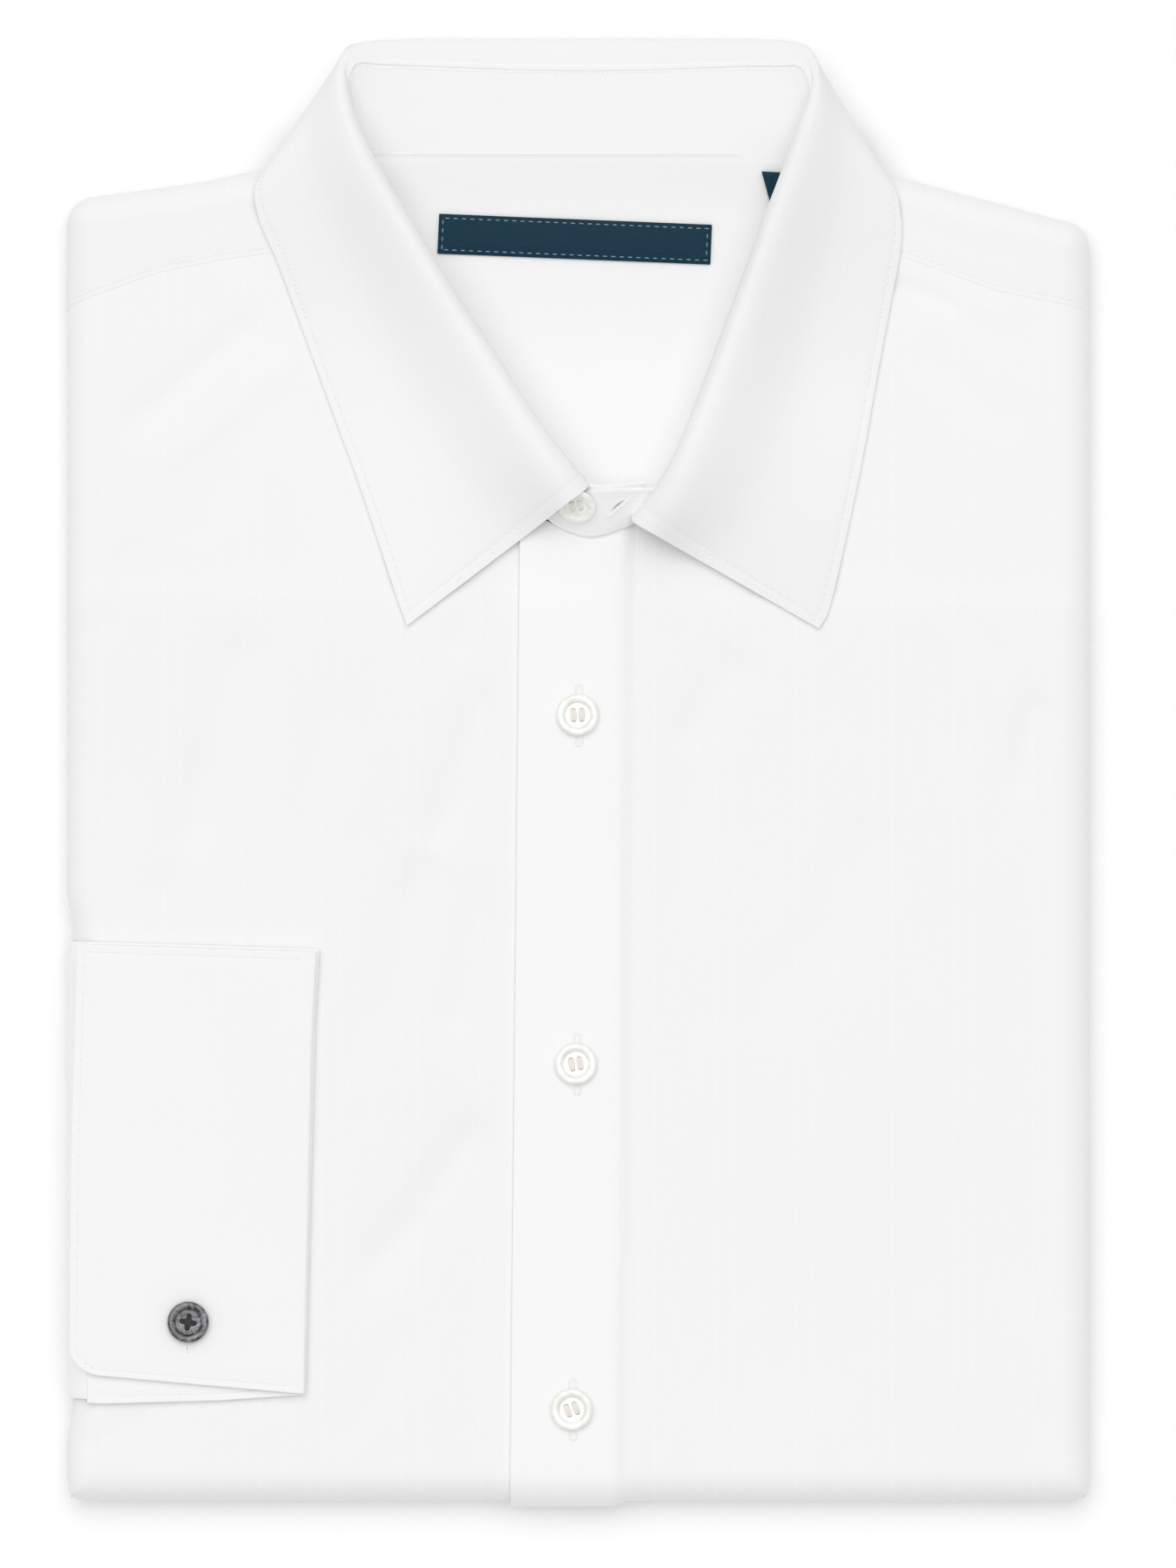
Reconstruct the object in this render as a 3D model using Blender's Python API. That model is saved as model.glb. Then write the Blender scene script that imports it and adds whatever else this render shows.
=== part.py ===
"""Long sleeve dress shirt, folded flat and lying on its back.

The hidden layers (back, sleeves and tail folded behind) are one rounded solid with a flat
underside.  Over it lie the cut pieces that show: two fronts, the placket, the front strips of
the yoke, the inside of the back in the neck, the collar's stand and leaf, the labels, the end
of one sleeve with its double cuff, and the buttons.

Lengths are in millimetres and become metres when a mesh is made.  +X is the wearer's left,
+Y points to the collar, +Z is up, and the origin is under the middle of the bounding box.
"""
import math

import bpy
import bmesh
from mathutils import Matrix, Vector

MM = 0.001

# --- Driving dimensions ----------------------------------------------------------------------

SIDE_FOLD = 140.6          # from the middle to each side fold
BOTTOM_FOLD = -200.4       # the fold across the lower end
BODY_HEIGHT = 17.0         # top of the fronts above the surface
FOLD_REACH = 8.0           # width of the round edge, seen from above
FOLD_DROP = 10.0           # height of the round edge
FOLD_LENGTH = 9.0          # cloth used by one radian of the round edge
CORNER_SQUARE = 0.6        # 0 makes the lower corners round in plan, 1 makes them square
CLOTH = 1.3                # wall of the body's cloth
FINE_CLOTH = 1.0           # wall of labels, cuffs and the sleeve's end
COLLAR_CLOTH = 1.5         # stand and leaf, with their interlining
GAP = 0.3                  # between neighbouring pieces

THIN_END_STEP = 0.9        # the stack is thinner near the shoulders
THIN_END_FROM = 44.0
THIN_END_TO = 58.0

SLEEVE_PRESS = 1.6         # how far the sleeve's end pushes the side fold in
SLEEVE_PRESS_FROM = -184.0
SLEEVE_PRESS_TO = -33.0
SLEEVE_EASE = 10.5

# The shoulder line, seen from above: x, y.
SHOULDER_LINE = (
    (-141.0, 154.6), (-135.0, 158.0), (-105.0, 162.0), (-89.3, 165.2), (-62.0, 169.0),
    (-55.0, 173.0), (55.0, 173.0), (62.0, 168.6), (84.2, 164.5), (117.0, 156.0),
    (137.5, 150.4), (141.0, 148.0),
)

# The seam between the fronts and the yoke: x, y.
YOKE_SEAM = (
    (-156.0, 124.0), (-140.2, 128.3), (-114.7, 137.2), (-98.2, 140.5), (-60.0, 146.0),
    (60.0, 146.0), (90.2, 141.0), (106.0, 135.3), (115.0, 132.0), (139.0, 127.3), (156.0, 123.0),
)

# The neck seam of the fronts: y, x on the wearer's right, x on the wearer's left.
NECK_LINE = (
    (64.0, 3.0, 3.0), (66.0, -4.0, 10.0), (70.0, -11.0, 19.5), (78.0, -19.5, 33.5),
    (90.0, -28.5, 43.0), (105.0, -38.5, 51.5), (120.0, -47.5, 58.0), (140.0, -58.5, 65.0),
    (155.0, -65.0, 68.5), (168.0, -67.0, 69.5),
)

# Soft creases pressed into the fronts: x0, y0, x1, y1, half width, depth.
CREASES = (
    (-22.0, 26.0, -41.3, -21.7, 7.0, 1.0),
    (-41.3, -21.7, -54.2, -75.2, 8.0, 0.8),
    (-23.0, -32.0, -35.8, -73.6, 6.0, 0.6),
    (-24.0, -94.0, -59.8, -142.0, 8.0, 0.9),
    (-91.2, 41.4, -108.0, -25.3, 8.0, 0.9),
    (45.8, 34.0, 27.1, 4.2, 8.0, 0.8),
    (82.8, -10.0, 66.0, -58.0, 8.0, 0.6),
    (126.0, 22.0, 120.0, -8.0, 5.0, 0.8),
)
CREASE_FREE = 19.0         # half width of the uncreased strip along the placket


def clamp(value, low, high):
    return max(low, min(high, value))


def mix(a, b, t):
    return a + (b - a) * t


def soft(t):
    """Smooth step from 0 to 1."""
    t = clamp(t, 0.0, 1.0)
    return t * t * (3.0 - 2.0 * t)


def read_line(table, key, column=1):
    """Value of a column of a table whose first column rises, between its rows."""
    if key <= table[0][0]:
        return table[0][column]
    for low, high in zip(table, table[1:]):
        if key <= high[0]:
            return mix(low[column], high[column], (key - low[0]) / (high[0] - low[0]))
    return table[-1][column]


def make_material(name, colour, roughness, metallic=0.0):
    material = bpy.data.materials.new(name)
    material.use_nodes = True
    shader = material.node_tree.nodes["Principled BSDF"]
    shader.inputs["Base Color"].default_value = (*colour, 1.0)
    shader.inputs["Roughness"].default_value = roughness
    shader.inputs["Metallic"].default_value = metallic
    return material


def add_object(name, bm, material):
    """Turn a bmesh in millimetres into a named object in metres."""
    bmesh.ops.scale(bm, vec=(MM, MM, MM), verts=bm.verts)
    bmesh.ops.recalc_face_normals(bm, faces=bm.faces)
    if bm.calc_volume(signed=True) < 0:
        bmesh.ops.reverse_faces(bm, faces=bm.faces)
    mesh = bpy.data.meshes.new(name)
    bm.to_mesh(mesh)
    bm.free()
    mesh.materials.append(material)
    mesh.shade_smooth()
    mesh.set_sharp_from_angle(angle=math.radians(40))
    item = bpy.data.objects.new(name, mesh)
    bpy.context.scene.collection.objects.link(item)
    return item


def grid_of(columns, rows, place):
    """A grid of cells whose corner (i, j) lies at place(i, j)."""
    bm = bmesh.new()
    bmesh.ops.create_grid(bm, x_segments=columns, y_segments=rows, size=1.0)
    for vert in bm.verts:
        i = round((vert.co.x + 1.0) / 2.0 * columns)
        j = round((vert.co.y + 1.0) / 2.0 * rows)
        vert.co = place(i, j)
    return bm


def wall_between(name, columns, rows, upper, lower, material):
    """A closed wall of cloth between two grids of points, upper(i, j) and lower(i, j)."""
    bm = grid_of(columns, rows, upper)
    top_edges = [edge for edge in bm.edges if edge.is_boundary]
    under = bmesh.ops.duplicate(bm, geom=bm.verts[:] + bm.edges[:] + bm.faces[:])
    corner_of = {}
    for i in range(columns + 1):
        for j in range(rows + 1):
            corner_of[tuple(round(c, 4) for c in upper(i, j))] = (i, j)
    for vert in [item for item in under["geom"] if isinstance(item, bmesh.types.BMVert)]:
        vert.co = lower(*corner_of[tuple(round(c, 4) for c in vert.co)])
    under_edges = [item for item in under["geom"]
                   if isinstance(item, bmesh.types.BMEdge) and item.is_boundary]
    bmesh.ops.bridge_loops(bm, edges=top_edges + under_edges)
    return add_object(name, bm, material)


# --- The folded body's surface ---------------------------------------------------------------

def side_fold(y, side):
    """X of a side fold; the sleeve's end presses in the one on the wearer's right."""
    if side > 0:
        return SIDE_FOLD
    pressed = soft((SLEEVE_PRESS_TO - y) / SLEEVE_EASE) * soft((y - SLEEVE_PRESS_FROM) / SLEEVE_EASE)
    return -SIDE_FOLD + SLEEVE_PRESS * pressed


def edge_column(y, side, length):
    """Sheet coordinate of a point that lies length beyond the flat middle, on one side."""
    return side_fold(max(y, BOTTOM_FOLD + FOLD_REACH), side) + side * (length - FOLD_REACH)


def crease_depth(x, y):
    depth = 0.0
    for x0, y0, x1, y1, half_width, deepest in CREASES:
        run = Vector((x1 - x0, y1 - y0))
        along = clamp((Vector((x - x0, y - y0))).dot(run) / run.length_squared, 0.0, 1.0)
        away = (Vector((x - x0, y - y0)) - run * along).length
        ends = soft(along * 4.0 + 0.2) * soft((1.0 - along) * 4.0 + 0.2)
        depth += deepest * ends * math.exp(-(away / half_width) ** 2)
    return depth * soft((abs(x) - CREASE_FREE) / 8.0)


def front_height(x, y):
    """Outer surface of the fronts above the surface below."""
    thinner = THIN_END_STEP * soft((y - THIN_END_FROM) / (THIN_END_TO - THIN_END_FROM))
    return BODY_HEIGHT - thinner


def body_point(u, v, lift, height):
    """Point of the cloth (u, v) wrapped over the rounded stack, moved out by lift."""
    flat_y = clamp(v, BOTTOM_FOLD + FOLD_REACH, 200.0)
    flat_x = clamp(u, side_fold(flat_y, -1) + FOLD_REACH, side_fold(flat_y, 1) - FOLD_REACH)
    flat_y = min(flat_y, read_line(SHOULDER_LINE, flat_x) - FOLD_REACH)
    beyond = Vector((u - flat_x, v - flat_y))
    reach = max(abs(beyond.x), abs(beyond.y))
    top = height(flat_x, flat_y)
    if reach < 1e-6:
        return Vector((flat_x, flat_y, top + lift))
    turn = reach / FOLD_LENGTH
    corner = (beyond.length / reach) ** CORNER_SQUARE if beyond.y < 0 else 1.0
    outward = beyond.normalized() * (FOLD_REACH + lift) * math.sin(turn) * corner
    rise = top - FOLD_DROP + (FOLD_DROP + lift) * math.cos(turn)
    return Vector((flat_x + outward.x, flat_y + outward.y, rise))


def creased_height(x, y):
    return front_height(x, y) - crease_depth(x, y)


def front_point(u, v, lift):
    return body_point(u, v, lift, creased_height)


# Rows of cloth that all pieces of the body share, so that they stay an even gap apart.
EDGE_TURNS = (90.0, 68.0, 46.0, 23.0, 0.0)
BODY_ROWS = (
    -184, -173, -160, -146, -132, -118, -104, -90, -76, -62, -44, -33, -20, -7, 6, 19, 32, 44, 52,
)
UPPER_START = 60.0         # above this the rows bend towards the yoke seam


def edge_lengths():
    return [math.radians(turn) * FOLD_LENGTH for turn in EDGE_TURNS]


def front_rows():
    low = BOTTOM_FOLD + FOLD_REACH
    return [low - e for e in edge_lengths()] + list(BODY_ROWS) + [UPPER_START]


# --- Hidden layers: back, sleeves and tail ---------------------------------------------------

NECK_FLOOR = 13.0          # inside of the back, in the neck
NECK_MARGIN = 13.0         # the hidden layers stay low this far round the neck
NECK_EASE = 16.0           # and rise to the fronts over this width
CORE_ROOM = 0.5            # extra room under the middle of the fronts
CORE_CELLS_ACROSS = 15
CORE_UPPER_ROWS = (0.16, 0.33, 0.5, 0.67, 0.84)
# Rounded lips of the folded layers below the fronts' edge: inset from the outline, height.
LAYER_LIPS = (
    (1.7, 5.6), (0.7, 4.9), (0.8, 3.6), (1.9, 3.0), (0.8, 2.2), (0.9, 0.8), (2.4, 0.0),
)


def neck_mask(x, y):
    """1 within the neck and just around it, 0 further out."""
    outside = max(read_line(NECK_LINE, y, 1) - x, x - read_line(NECK_LINE, y, 2),
                  NECK_LINE[0][0] - y)
    return 1.0 - soft((outside - NECK_MARGIN) / NECK_EASE)


def core_height(x, y):
    inside = min(x - side_fold(y, -1), side_fold(y, 1) - x, y - BOTTOM_FOLD,
                 read_line(SHOULDER_LINE, x) - y)
    room = CORE_ROOM * soft((inside - FOLD_REACH) / 10.0)
    under_fronts = creased_height(x, y) - room
    under_neck = NECK_FLOOR + CLOTH - FINE_CLOTH
    return mix(under_fronts, under_neck, neck_mask(x, y))


def hidden_layers(material):
    lift = -(CLOTH + GAP)
    start = SIDE_FOLD - FOLD_REACH
    lengths = edge_lengths()
    turns = len(lengths) - 1
    lower_rows = front_rows()

    def corner(i, j):
        y = lower_rows[min(j, len(lower_rows) - 1)]
        if i <= turns:
            u = edge_column(y, -1, lengths[i])
        elif i >= turns + CORE_CELLS_ACROSS:
            u = edge_column(y, 1, lengths[turns + turns + CORE_CELLS_ACROSS - i])
        else:
            u = mix(-start, start, (i - turns) / CORE_CELLS_ACROSS)
        high = read_line(SHOULDER_LINE, clamp(u, -start, start)) - FOLD_REACH
        rows = (lower_rows + [mix(UPPER_START, high, share) for share in CORE_UPPER_ROWS]
                + [high + e for e in reversed(lengths)])
        return u, rows[j]

    cells_along = len(lower_rows) + len(CORE_UPPER_ROWS) + len(lengths) - 1
    bm = grid_of(CORE_CELLS_ACROSS + 2 * turns, cells_along,
                 lambda i, j: body_point(*corner(i, j), lift, core_height))
    rim = {}
    for vert in bm.verts:
        if vert.is_boundary:
            x, y = vert.co.xy
            low = BOTTOM_FOLD + FOLD_REACH
            centre_x = clamp(x, side_fold(max(y, low), -1) + FOLD_REACH, start)
            centre_y = clamp(y, low, read_line(SHOULDER_LINE, centre_x) - FOLD_REACH)
            rim[vert] = (Vector((centre_x, centre_y)), Vector((x - centre_x, y - centre_y)))
    edges = [e for e in bm.edges if e.is_boundary]
    base_reach = FOLD_REACH + lift
    for inset, height in LAYER_LIPS:
        grown = bmesh.ops.extrude_edge_only(bm, edges=edges)["geom"]
        fresh = {}
        for vert in [g for g in grown if isinstance(g, bmesh.types.BMVert)]:
            for e in vert.link_edges:
                if e.other_vert(vert) in rim:
                    fresh[vert] = rim[e.other_vert(vert)]
        for vert, (centre, out) in fresh.items():
            spot = centre + out * ((FOLD_REACH - inset) / base_reach)
            vert.co = Vector((spot.x, spot.y, height))
        rim = fresh
        edges = [g for g in grown if isinstance(g, bmesh.types.BMEdge) and g.is_boundary]
    bmesh.ops.edgeloop_fill(bm, edges=edges)
    return add_object("hidden_layers", bm, material)


# --- Fronts, placket and yoke ----------------------------------------------------------------

FRONT_CELLS = 9            # across a front, between its round edge and its inner edge
UPPER_ROWS = (0.12, 0.24, 0.38, 0.52, 0.68, 0.84, 1.0)
SEAM_AT_NECK = 143.0
PLACKET_LEFT = (-18.7, -16.1)   # x of the placket's free edge, at the bottom and at the neck
PLACKET_RIGHT = (14.6, 16.8)
UNDERLAP_EDGE = 2.0        # the wearer's right front ends here, under the placket


def placket_edges(y):
    t = (y - BOTTOM_FOLD) / (UPPER_START - BOTTOM_FOLD)
    return mix(*PLACKET_LEFT, t), mix(*PLACKET_RIGHT, t)


def inner_edge(y, side):
    """X of a front's inner edge: under or beside the placket, then round the neck."""
    if side < 0:
        return min(UNDERLAP_EDGE, read_line(NECK_LINE, y, 1))
    return max(placket_edges(y)[1] + GAP, read_line(NECK_LINE, y, 2))


def front_corner(i, j, side):
    """Sheet coordinates of a front's grid, from its side edge inwards and from below."""
    rows = front_rows()
    lengths = edge_lengths()
    upper = 0.0 if j < len(rows) else UPPER_ROWS[j - len(rows)]
    y = rows[j] if j < len(rows) else mix(UPPER_START, SEAM_AT_NECK, upper)
    if i < len(lengths):
        u = edge_column(y, side, lengths[i])
    else:
        start = edge_column(y, side, 0.0)
        u = mix(start, inner_edge(y, side), (i - len(lengths) + 1) / FRONT_CELLS)
    if upper:
        y = mix(UPPER_START, read_line(YOKE_SEAM, u) - GAP / 2, upper)
    return u, y


def front_panel(name, side, material):
    columns = len(EDGE_TURNS) + FRONT_CELLS - 1
    rows = len(front_rows()) + len(UPPER_ROWS) - 1
    return wall_between(
        name, columns, rows,
        lambda i, j: front_point(*front_corner(i, j, side), 0.0),
        lambda i, j: front_point(*front_corner(i, j, side), -CLOTH), material)


# Top end of the placket, along the collar band's seam: x, y.
PLACKET_TOP = (
    (-17.0, 73.0), (-8.9, 67.6), (-2.4, 64.6), (2.9, 63.2), (7.0, 63.9), (14.4, 66.8),
    (18.0, 69.5),
)
PLACKET_CELLS = 6


def front_placket(material):
    rows = front_rows()

    def corner(i, j):
        s = i / PLACKET_CELLS
        left, right = placket_edges(rows[j] if j < len(rows) else UPPER_START)
        u = mix(left, right, s)
        return u, rows[j] if j < len(rows) else read_line(PLACKET_TOP, u) - GAP

    def lift(i):
        sink = soft((i / PLACKET_CELLS - 0.62) / 0.3)
        return mix(GAP, GAP - CLOTH, sink)

    return wall_between(
        "front_placket", PLACKET_CELLS, len(rows),
        lambda i, j: front_point(*corner(i, j), lift(i) + CLOTH),
        lambda i, j: front_point(*corner(i, j), lift(i)), material)


YOKE_CELLS_UP = 2


def yoke_strip(name, side, material):
    lengths = edge_lengths()
    start = SIDE_FOLD - FOLD_REACH

    def corner(i, j):
        y = mix(SEAM_AT_NECK, 160.0, min(j / YOKE_CELLS_UP, 1.0))
        if i < len(lengths):
            u = side * (start + lengths[i])
        else:
            column = 1 if side < 0 else 2
            inner = read_line(NECK_LINE, y, column)
            u = mix(side * start, inner, (i - len(lengths) + 1) / FRONT_CELLS)
        seam = read_line(YOKE_SEAM, u) + GAP / 2
        crown = read_line(SHOULDER_LINE, clamp(u, -start, start)) - FOLD_REACH
        if j <= YOKE_CELLS_UP:
            return u, mix(seam, crown, j / YOKE_CELLS_UP)
        return u, crown + lengths[len(lengths) - 1 - (j - YOKE_CELLS_UP)]

    rows = YOKE_CELLS_UP + len(lengths) - 1
    columns = len(lengths) + FRONT_CELLS - 1
    return wall_between(
        name, columns, rows,
        lambda i, j: front_point(*corner(i, j), 0.0),
        lambda i, j: front_point(*corner(i, j), -CLOTH), material)


# --- Inside of the back, in the neck ---------------------------------------------------------

INNER_BACK_FROM = 78.0
INNER_BACK_TO = 166.2
INNER_BACK_INSET = 3.6
INNER_BACK_CELLS = 6


def inner_back(material):
    def corner(i, j):
        y = mix(INNER_BACK_FROM, INNER_BACK_TO, j / INNER_BACK_CELLS)
        left = read_line(NECK_LINE, y, 1) + INNER_BACK_INSET
        right = read_line(NECK_LINE, y, 2) - INNER_BACK_INSET
        return mix(left, right, i / INNER_BACK_CELLS), y

    return wall_between(
        "inner_back", INNER_BACK_CELLS, INNER_BACK_CELLS,
        lambda i, j: Vector((*corner(i, j), NECK_FLOOR)),
        lambda i, j: Vector((*corner(i, j), NECK_FLOOR - FINE_CLOTH)), material)


# --- Collar ----------------------------------------------------------------------------------

COLLAR_MIDDLE = Vector((2.0, 128.0))

# Sections round the collar, from its end on the wearer's right, by the back, to the left:
# foot x, y   roll x, y, z   leaf's edge x, y, z   seam inside the roll   height of the leaf's
# middle, as a share   share turned under
COLLAR_SECTIONS = (
    (-9.6, 70.6, 2.0, 78.2, 31.2, -47.0, 40.2, 18.4, 1.2, 0.15, 0.0),
    (-14.5, 75.6, -4.2, 86.5, 33.0, -49.6, 47.5, 18.2, 0.3, 0.21, 0.0),
    (-24.0, 87.6, -12.3, 97.6, 34.6, -54.2, 61.6, 17.5, 0.0, 0.30, 0.0),
    (-37.0, 106.6, -25.0, 117.4, 35.2, -60.3, 80.0, 17.4, 0.0, 0.34, 0.0),
    (-49.0, 127.0, -37.9, 137.2, 35.0, -68.0, 101.0, 17.4, 0.0, 0.36, 0.0),
    (-57.6, 143.0, -47.0, 152.3, 33.6, -75.6, 121.8, 17.4, 0.0, 0.36, 0.0),
    (-62.6, 155.0, -55.7, 166.7, 31.2, -82.2, 139.5, 17.4, 0.1, 0.36, 0.0),
    (-63.8, 163.0, -61.2, 178.4, 28.2, -87.4, 151.5, 17.6, 0.2, 0.36, 0.04),
    (-61.3, 168.0, -64.2, 189.6, 24.4, -88.4, 160.0, 17.6, 0.5, 0.30, 0.22),
    (-55.7, 169.8, -63.8, 197.0, 19.4, -82.0, 169.6, 11.4, 2.6, 0.19, 0.6),
    (-48.0, 168.9, -58.8, 199.6, 14.8, -70.0, 176.6, 6.0, 5.8, 0.11, 0.9),
    (-38.0, 168.1, -46.0, 200.3, 12.4, -50.0, 177.5, 4.0, 6.5, 0.08, 1.0),
    (-19.0, 167.4, -23.0, 200.4, 11.6, -25.0, 177.0, 3.6, 6.5, 0.08, 1.0),
    (0.0, 167.0, 0.0, 200.4, 11.5, 0.0, 177.0, 3.6, 6.5, 0.08, 1.0),
    (19.0, 167.0, 23.0, 200.4, 11.6, 25.0, 177.0, 3.6, 6.5, 0.08, 1.0),
    (38.0, 166.8, 46.0, 200.3, 12.4, 50.0, 177.5, 4.0, 6.5, 0.08, 1.0),
    (49.0, 166.6, 58.6, 199.6, 14.8, 69.4, 176.2, 6.0, 6.2, 0.11, 0.9),
    (57.0, 166.2, 64.0, 196.4, 19.4, 80.4, 169.0, 11.4, 3.0, 0.19, 0.6),
    (62.4, 163.6, 64.4, 188.0, 24.4, 86.8, 159.0, 17.5, 0.5, 0.30, 0.22),
    (64.8, 157.5, 61.0, 177.6, 28.2, 88.5, 151.0, 17.5, 0.2, 0.36, 0.04),
    (64.8, 149.0, 56.6, 165.6, 31.2, 88.0, 142.0, 17.4, 0.1, 0.36, 0.0),
    (61.0, 136.5, 51.2, 151.5, 33.6, 85.2, 127.0, 17.4, 0.0, 0.36, 0.0),
    (55.0, 120.5, 45.0, 134.5, 35.0, 81.6, 107.5, 17.4, 0.0, 0.36, 0.0),
    (46.6, 102.6, 36.4, 111.0, 35.2, 77.5, 84.5, 17.4, 0.0, 0.34, 0.0),
    (37.6, 87.5, 28.1, 90.0, 33.8, 72.6, 61.0, 17.5, 0.0, 0.30, 0.0),
    (28.5, 77.4, 22.3, 78.6, 30.8, 68.8, 45.0, 18.2, 0.3, 0.21, 0.0),
    (18.6, 72.6, 15.4, 69.0, 26.4, 66.0, 39.4, 18.4, 1.2, 0.15, 0.0),
)
FOOT_AT_SIDE = 15.6        # height of the stand's foot beside the fronts
FOOT_AT_BACK = 13.8        # and beside the inside of the back
ROLL_WALL = 0.6            # half of the leaf's wall, so that its outline lies on the roll
ROLL_BELOW_CREST = 1.4
SEAM_BELOW_ROLL = 3.8
SEAM_ABOVE_FOLD = 2.8      # where the leaf is folded under
LEAF_CELLS = 8
STAND_CELLS = 3


def through(points, t):
    """Point at t (0 to 1) of a smooth curve through the points."""
    spans = len(points) - 1
    k = min(int(t * spans), spans - 1)
    t = t * spans - k
    p1, p2 = points[k], points[k + 1]
    p0 = points[k - 1] if k else p1 * 2 - p2
    p3 = points[k + 2] if k + 2 <= spans else p2 * 2 - p1
    return (p1 * 2 + (p2 - p0) * t + (p0 * 2 - p1 * 5 + p2 * 4 - p3) * t * t
            + (p1 * 3 - p0 - p2 * 3 + p3) * t * t * t) / 2


def collar_marks(section):
    """Foot, seam, roll, crest, belly and edge of one section."""
    foot_x, foot_y, roll_x, roll_y, roll_z, edge_x, edge_y, edge_z, seam_in, full, under = section
    foot = Vector((foot_x, foot_y, mix(FOOT_AT_SIDE, FOOT_AT_BACK, soft(under * 2.0))))
    inward = (COLLAR_MIDDLE - Vector((roll_x, roll_y))).normalized()
    edge = Vector((edge_x, edge_y, edge_z))
    wall = mix(ROLL_WALL, 0.0, under)
    roll = Vector((roll_x - inward.x * wall, roll_y - inward.y * wall,
                   roll_z - mix(ROLL_BELOW_CREST, 0.0, under)))
    seam = Vector((roll_x + inward.x * seam_in, roll_y + inward.y * seam_in,
                   roll_z + mix(-SEAM_BELOW_ROLL, SEAM_ABOVE_FOLD, under)))
    crest = roll.lerp(edge, mix(0.1, 0.0, under))
    crest.z = roll_z + mix(0.4, -3.4, under)
    belly = edge.lerp(roll, mix(0.5, 0.93, under))
    belly.z = mix(edge.z, roll_z, full)
    return foot, seam, roll, crest, belly, edge


def normal_shift(grid, i, j, columns, rows, distance):
    """Corner (i, j) of a grid of points, moved along the grid's normal there."""
    along = grid(min(i + 1, columns), j) - grid(max(i - 1, 0), j)
    up = grid(i, min(j + 1, rows)) - grid(i, max(j - 1, 0))
    return grid(i, j) + along.cross(up).normalized() * distance


def even_wall(name, columns, rows, grid, thickness, material):
    """A wall of even thickness about a grid of points."""
    return wall_between(
        name, columns, rows,
        lambda i, j: normal_shift(grid, i, j, columns, rows, thickness / 2),
        lambda i, j: normal_shift(grid, i, j, columns, rows, -thickness / 2), material)


def collar_leaf(material):
    marks = [collar_marks(section) for section in COLLAR_SECTIONS]

    def grid(i, j):
        return through(marks[i][1:], j / LEAF_CELLS)

    return even_wall("collar_leaf", len(marks) - 1, LEAF_CELLS, grid, COLLAR_CLOTH, material)


# Ends of the stand beyond the leaf: foot x, y, z   top x, y, z.
# The wearer's right end lies under the left one.
UNDERLAP_END = (
    (14.6, 71.4, 15.8, 18.2, 79.8, 25.0),
    (9.0, 69.6, 15.6, 11.4, 79.0, 25.2),
    (2.0, 68.8, 15.4, 3.8, 78.8, 25.6),
    (-5.0, 69.8, 15.4, -0.8, 81.8, 26.8),
)
OVERLAP_END = (
    (15.6, 68.9, 17.6, 18.8, 77.8, 25.2),
    (11.0, 66.9, 18.0, 13.4, 77.6, 26.2),
    (6.6, 65.4, 18.2, 7.8, 77.4, 26.8),
    (2.6, 64.9, 18.2, 1.8, 77.0, 26.6),
    (-2.6, 66.3, 18.2, -4.2, 76.0, 25.2),
    (-6.6, 68.4, 18.4, -7.8, 74.2, 23.0),
    (-8.8, 70.0, 19.4, -9.4, 72.4, 21.4),
)
STAND_TOP_GAP = 1.15       # the stand ends this far below the leaf's seam line


def collar_stand(material):
    lines = [(Vector(row[:3]), Vector(row[3:])) for row in UNDERLAP_END]
    for section in COLLAR_SECTIONS[1:-1]:
        foot, seam = collar_marks(section)[:2]
        lines.append((foot, seam + (foot - seam).normalized() * STAND_TOP_GAP))
    lines += [(Vector(row[:3]), Vector(row[3:])) for row in OVERLAP_END]

    def grid(i, j):
        foot, top = lines[i]
        return foot.lerp(top, j / STAND_CELLS)

    return even_wall("collar_stand", len(lines) - 1, STAND_CELLS, grid, COLLAR_CLOTH, material)


# --- Labels ----------------------------------------------------------------------------------

LABEL_SIZE = (75.0, 11.0)
LABEL_CENTRE = (-1.0, 146.4)
LABEL_TILT = math.radians(-2.3)
# The small tag under the neck seam: x and y of its four corners, from its free corner.
TAG_CORNERS = ((53.4, 153.6), (60.4, 152.2), (57.0, 164.6), (50.3, 165.0))


def flat_plate(name, corners, bottom, thickness, material):
    bm = bmesh.new()
    face = bm.faces.new([bm.verts.new((x, y, bottom)) for x, y in corners])
    top = bmesh.ops.extrude_face_region(bm, geom=[face])["geom"]
    for vert in [g for g in top if isinstance(g, bmesh.types.BMVert)]:
        vert.co.z += thickness
    return add_object(name, bm, material)


def neck_label(material):
    half_w, half_h = LABEL_SIZE[0] / 2, LABEL_SIZE[1] / 2
    turn = Matrix.Rotation(LABEL_TILT, 2)
    corners = []
    for sx, sy in ((-1, -1), (1, -1), (1, 1), (-1, 1)):
        spot = turn @ Vector((sx * half_w, sy * half_h)) + Vector(LABEL_CENTRE)
        corners.append((spot.x, spot.y))
    return flat_plate("neck_label", corners, NECK_FLOOR + GAP, FINE_CLOTH, material)


def size_tag(material):
    return flat_plate("size_tag", TAG_CORNERS, NECK_FLOOR + GAP, FINE_CLOTH, material)


# --- Sleeve end and double cuff --------------------------------------------------------------

SLEEVE_SEAM = -135.2       # where the sleeve's end is sewn to the cuff
SLEEVE_COLUMNS = 3         # rows of the round edge that the sleeve covers before its seam
SLEEVE_ROWS = (-172.0, -160.0, -146.0, -132.0, -104.0, -76.0, -62.0, -47.0)

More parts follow.
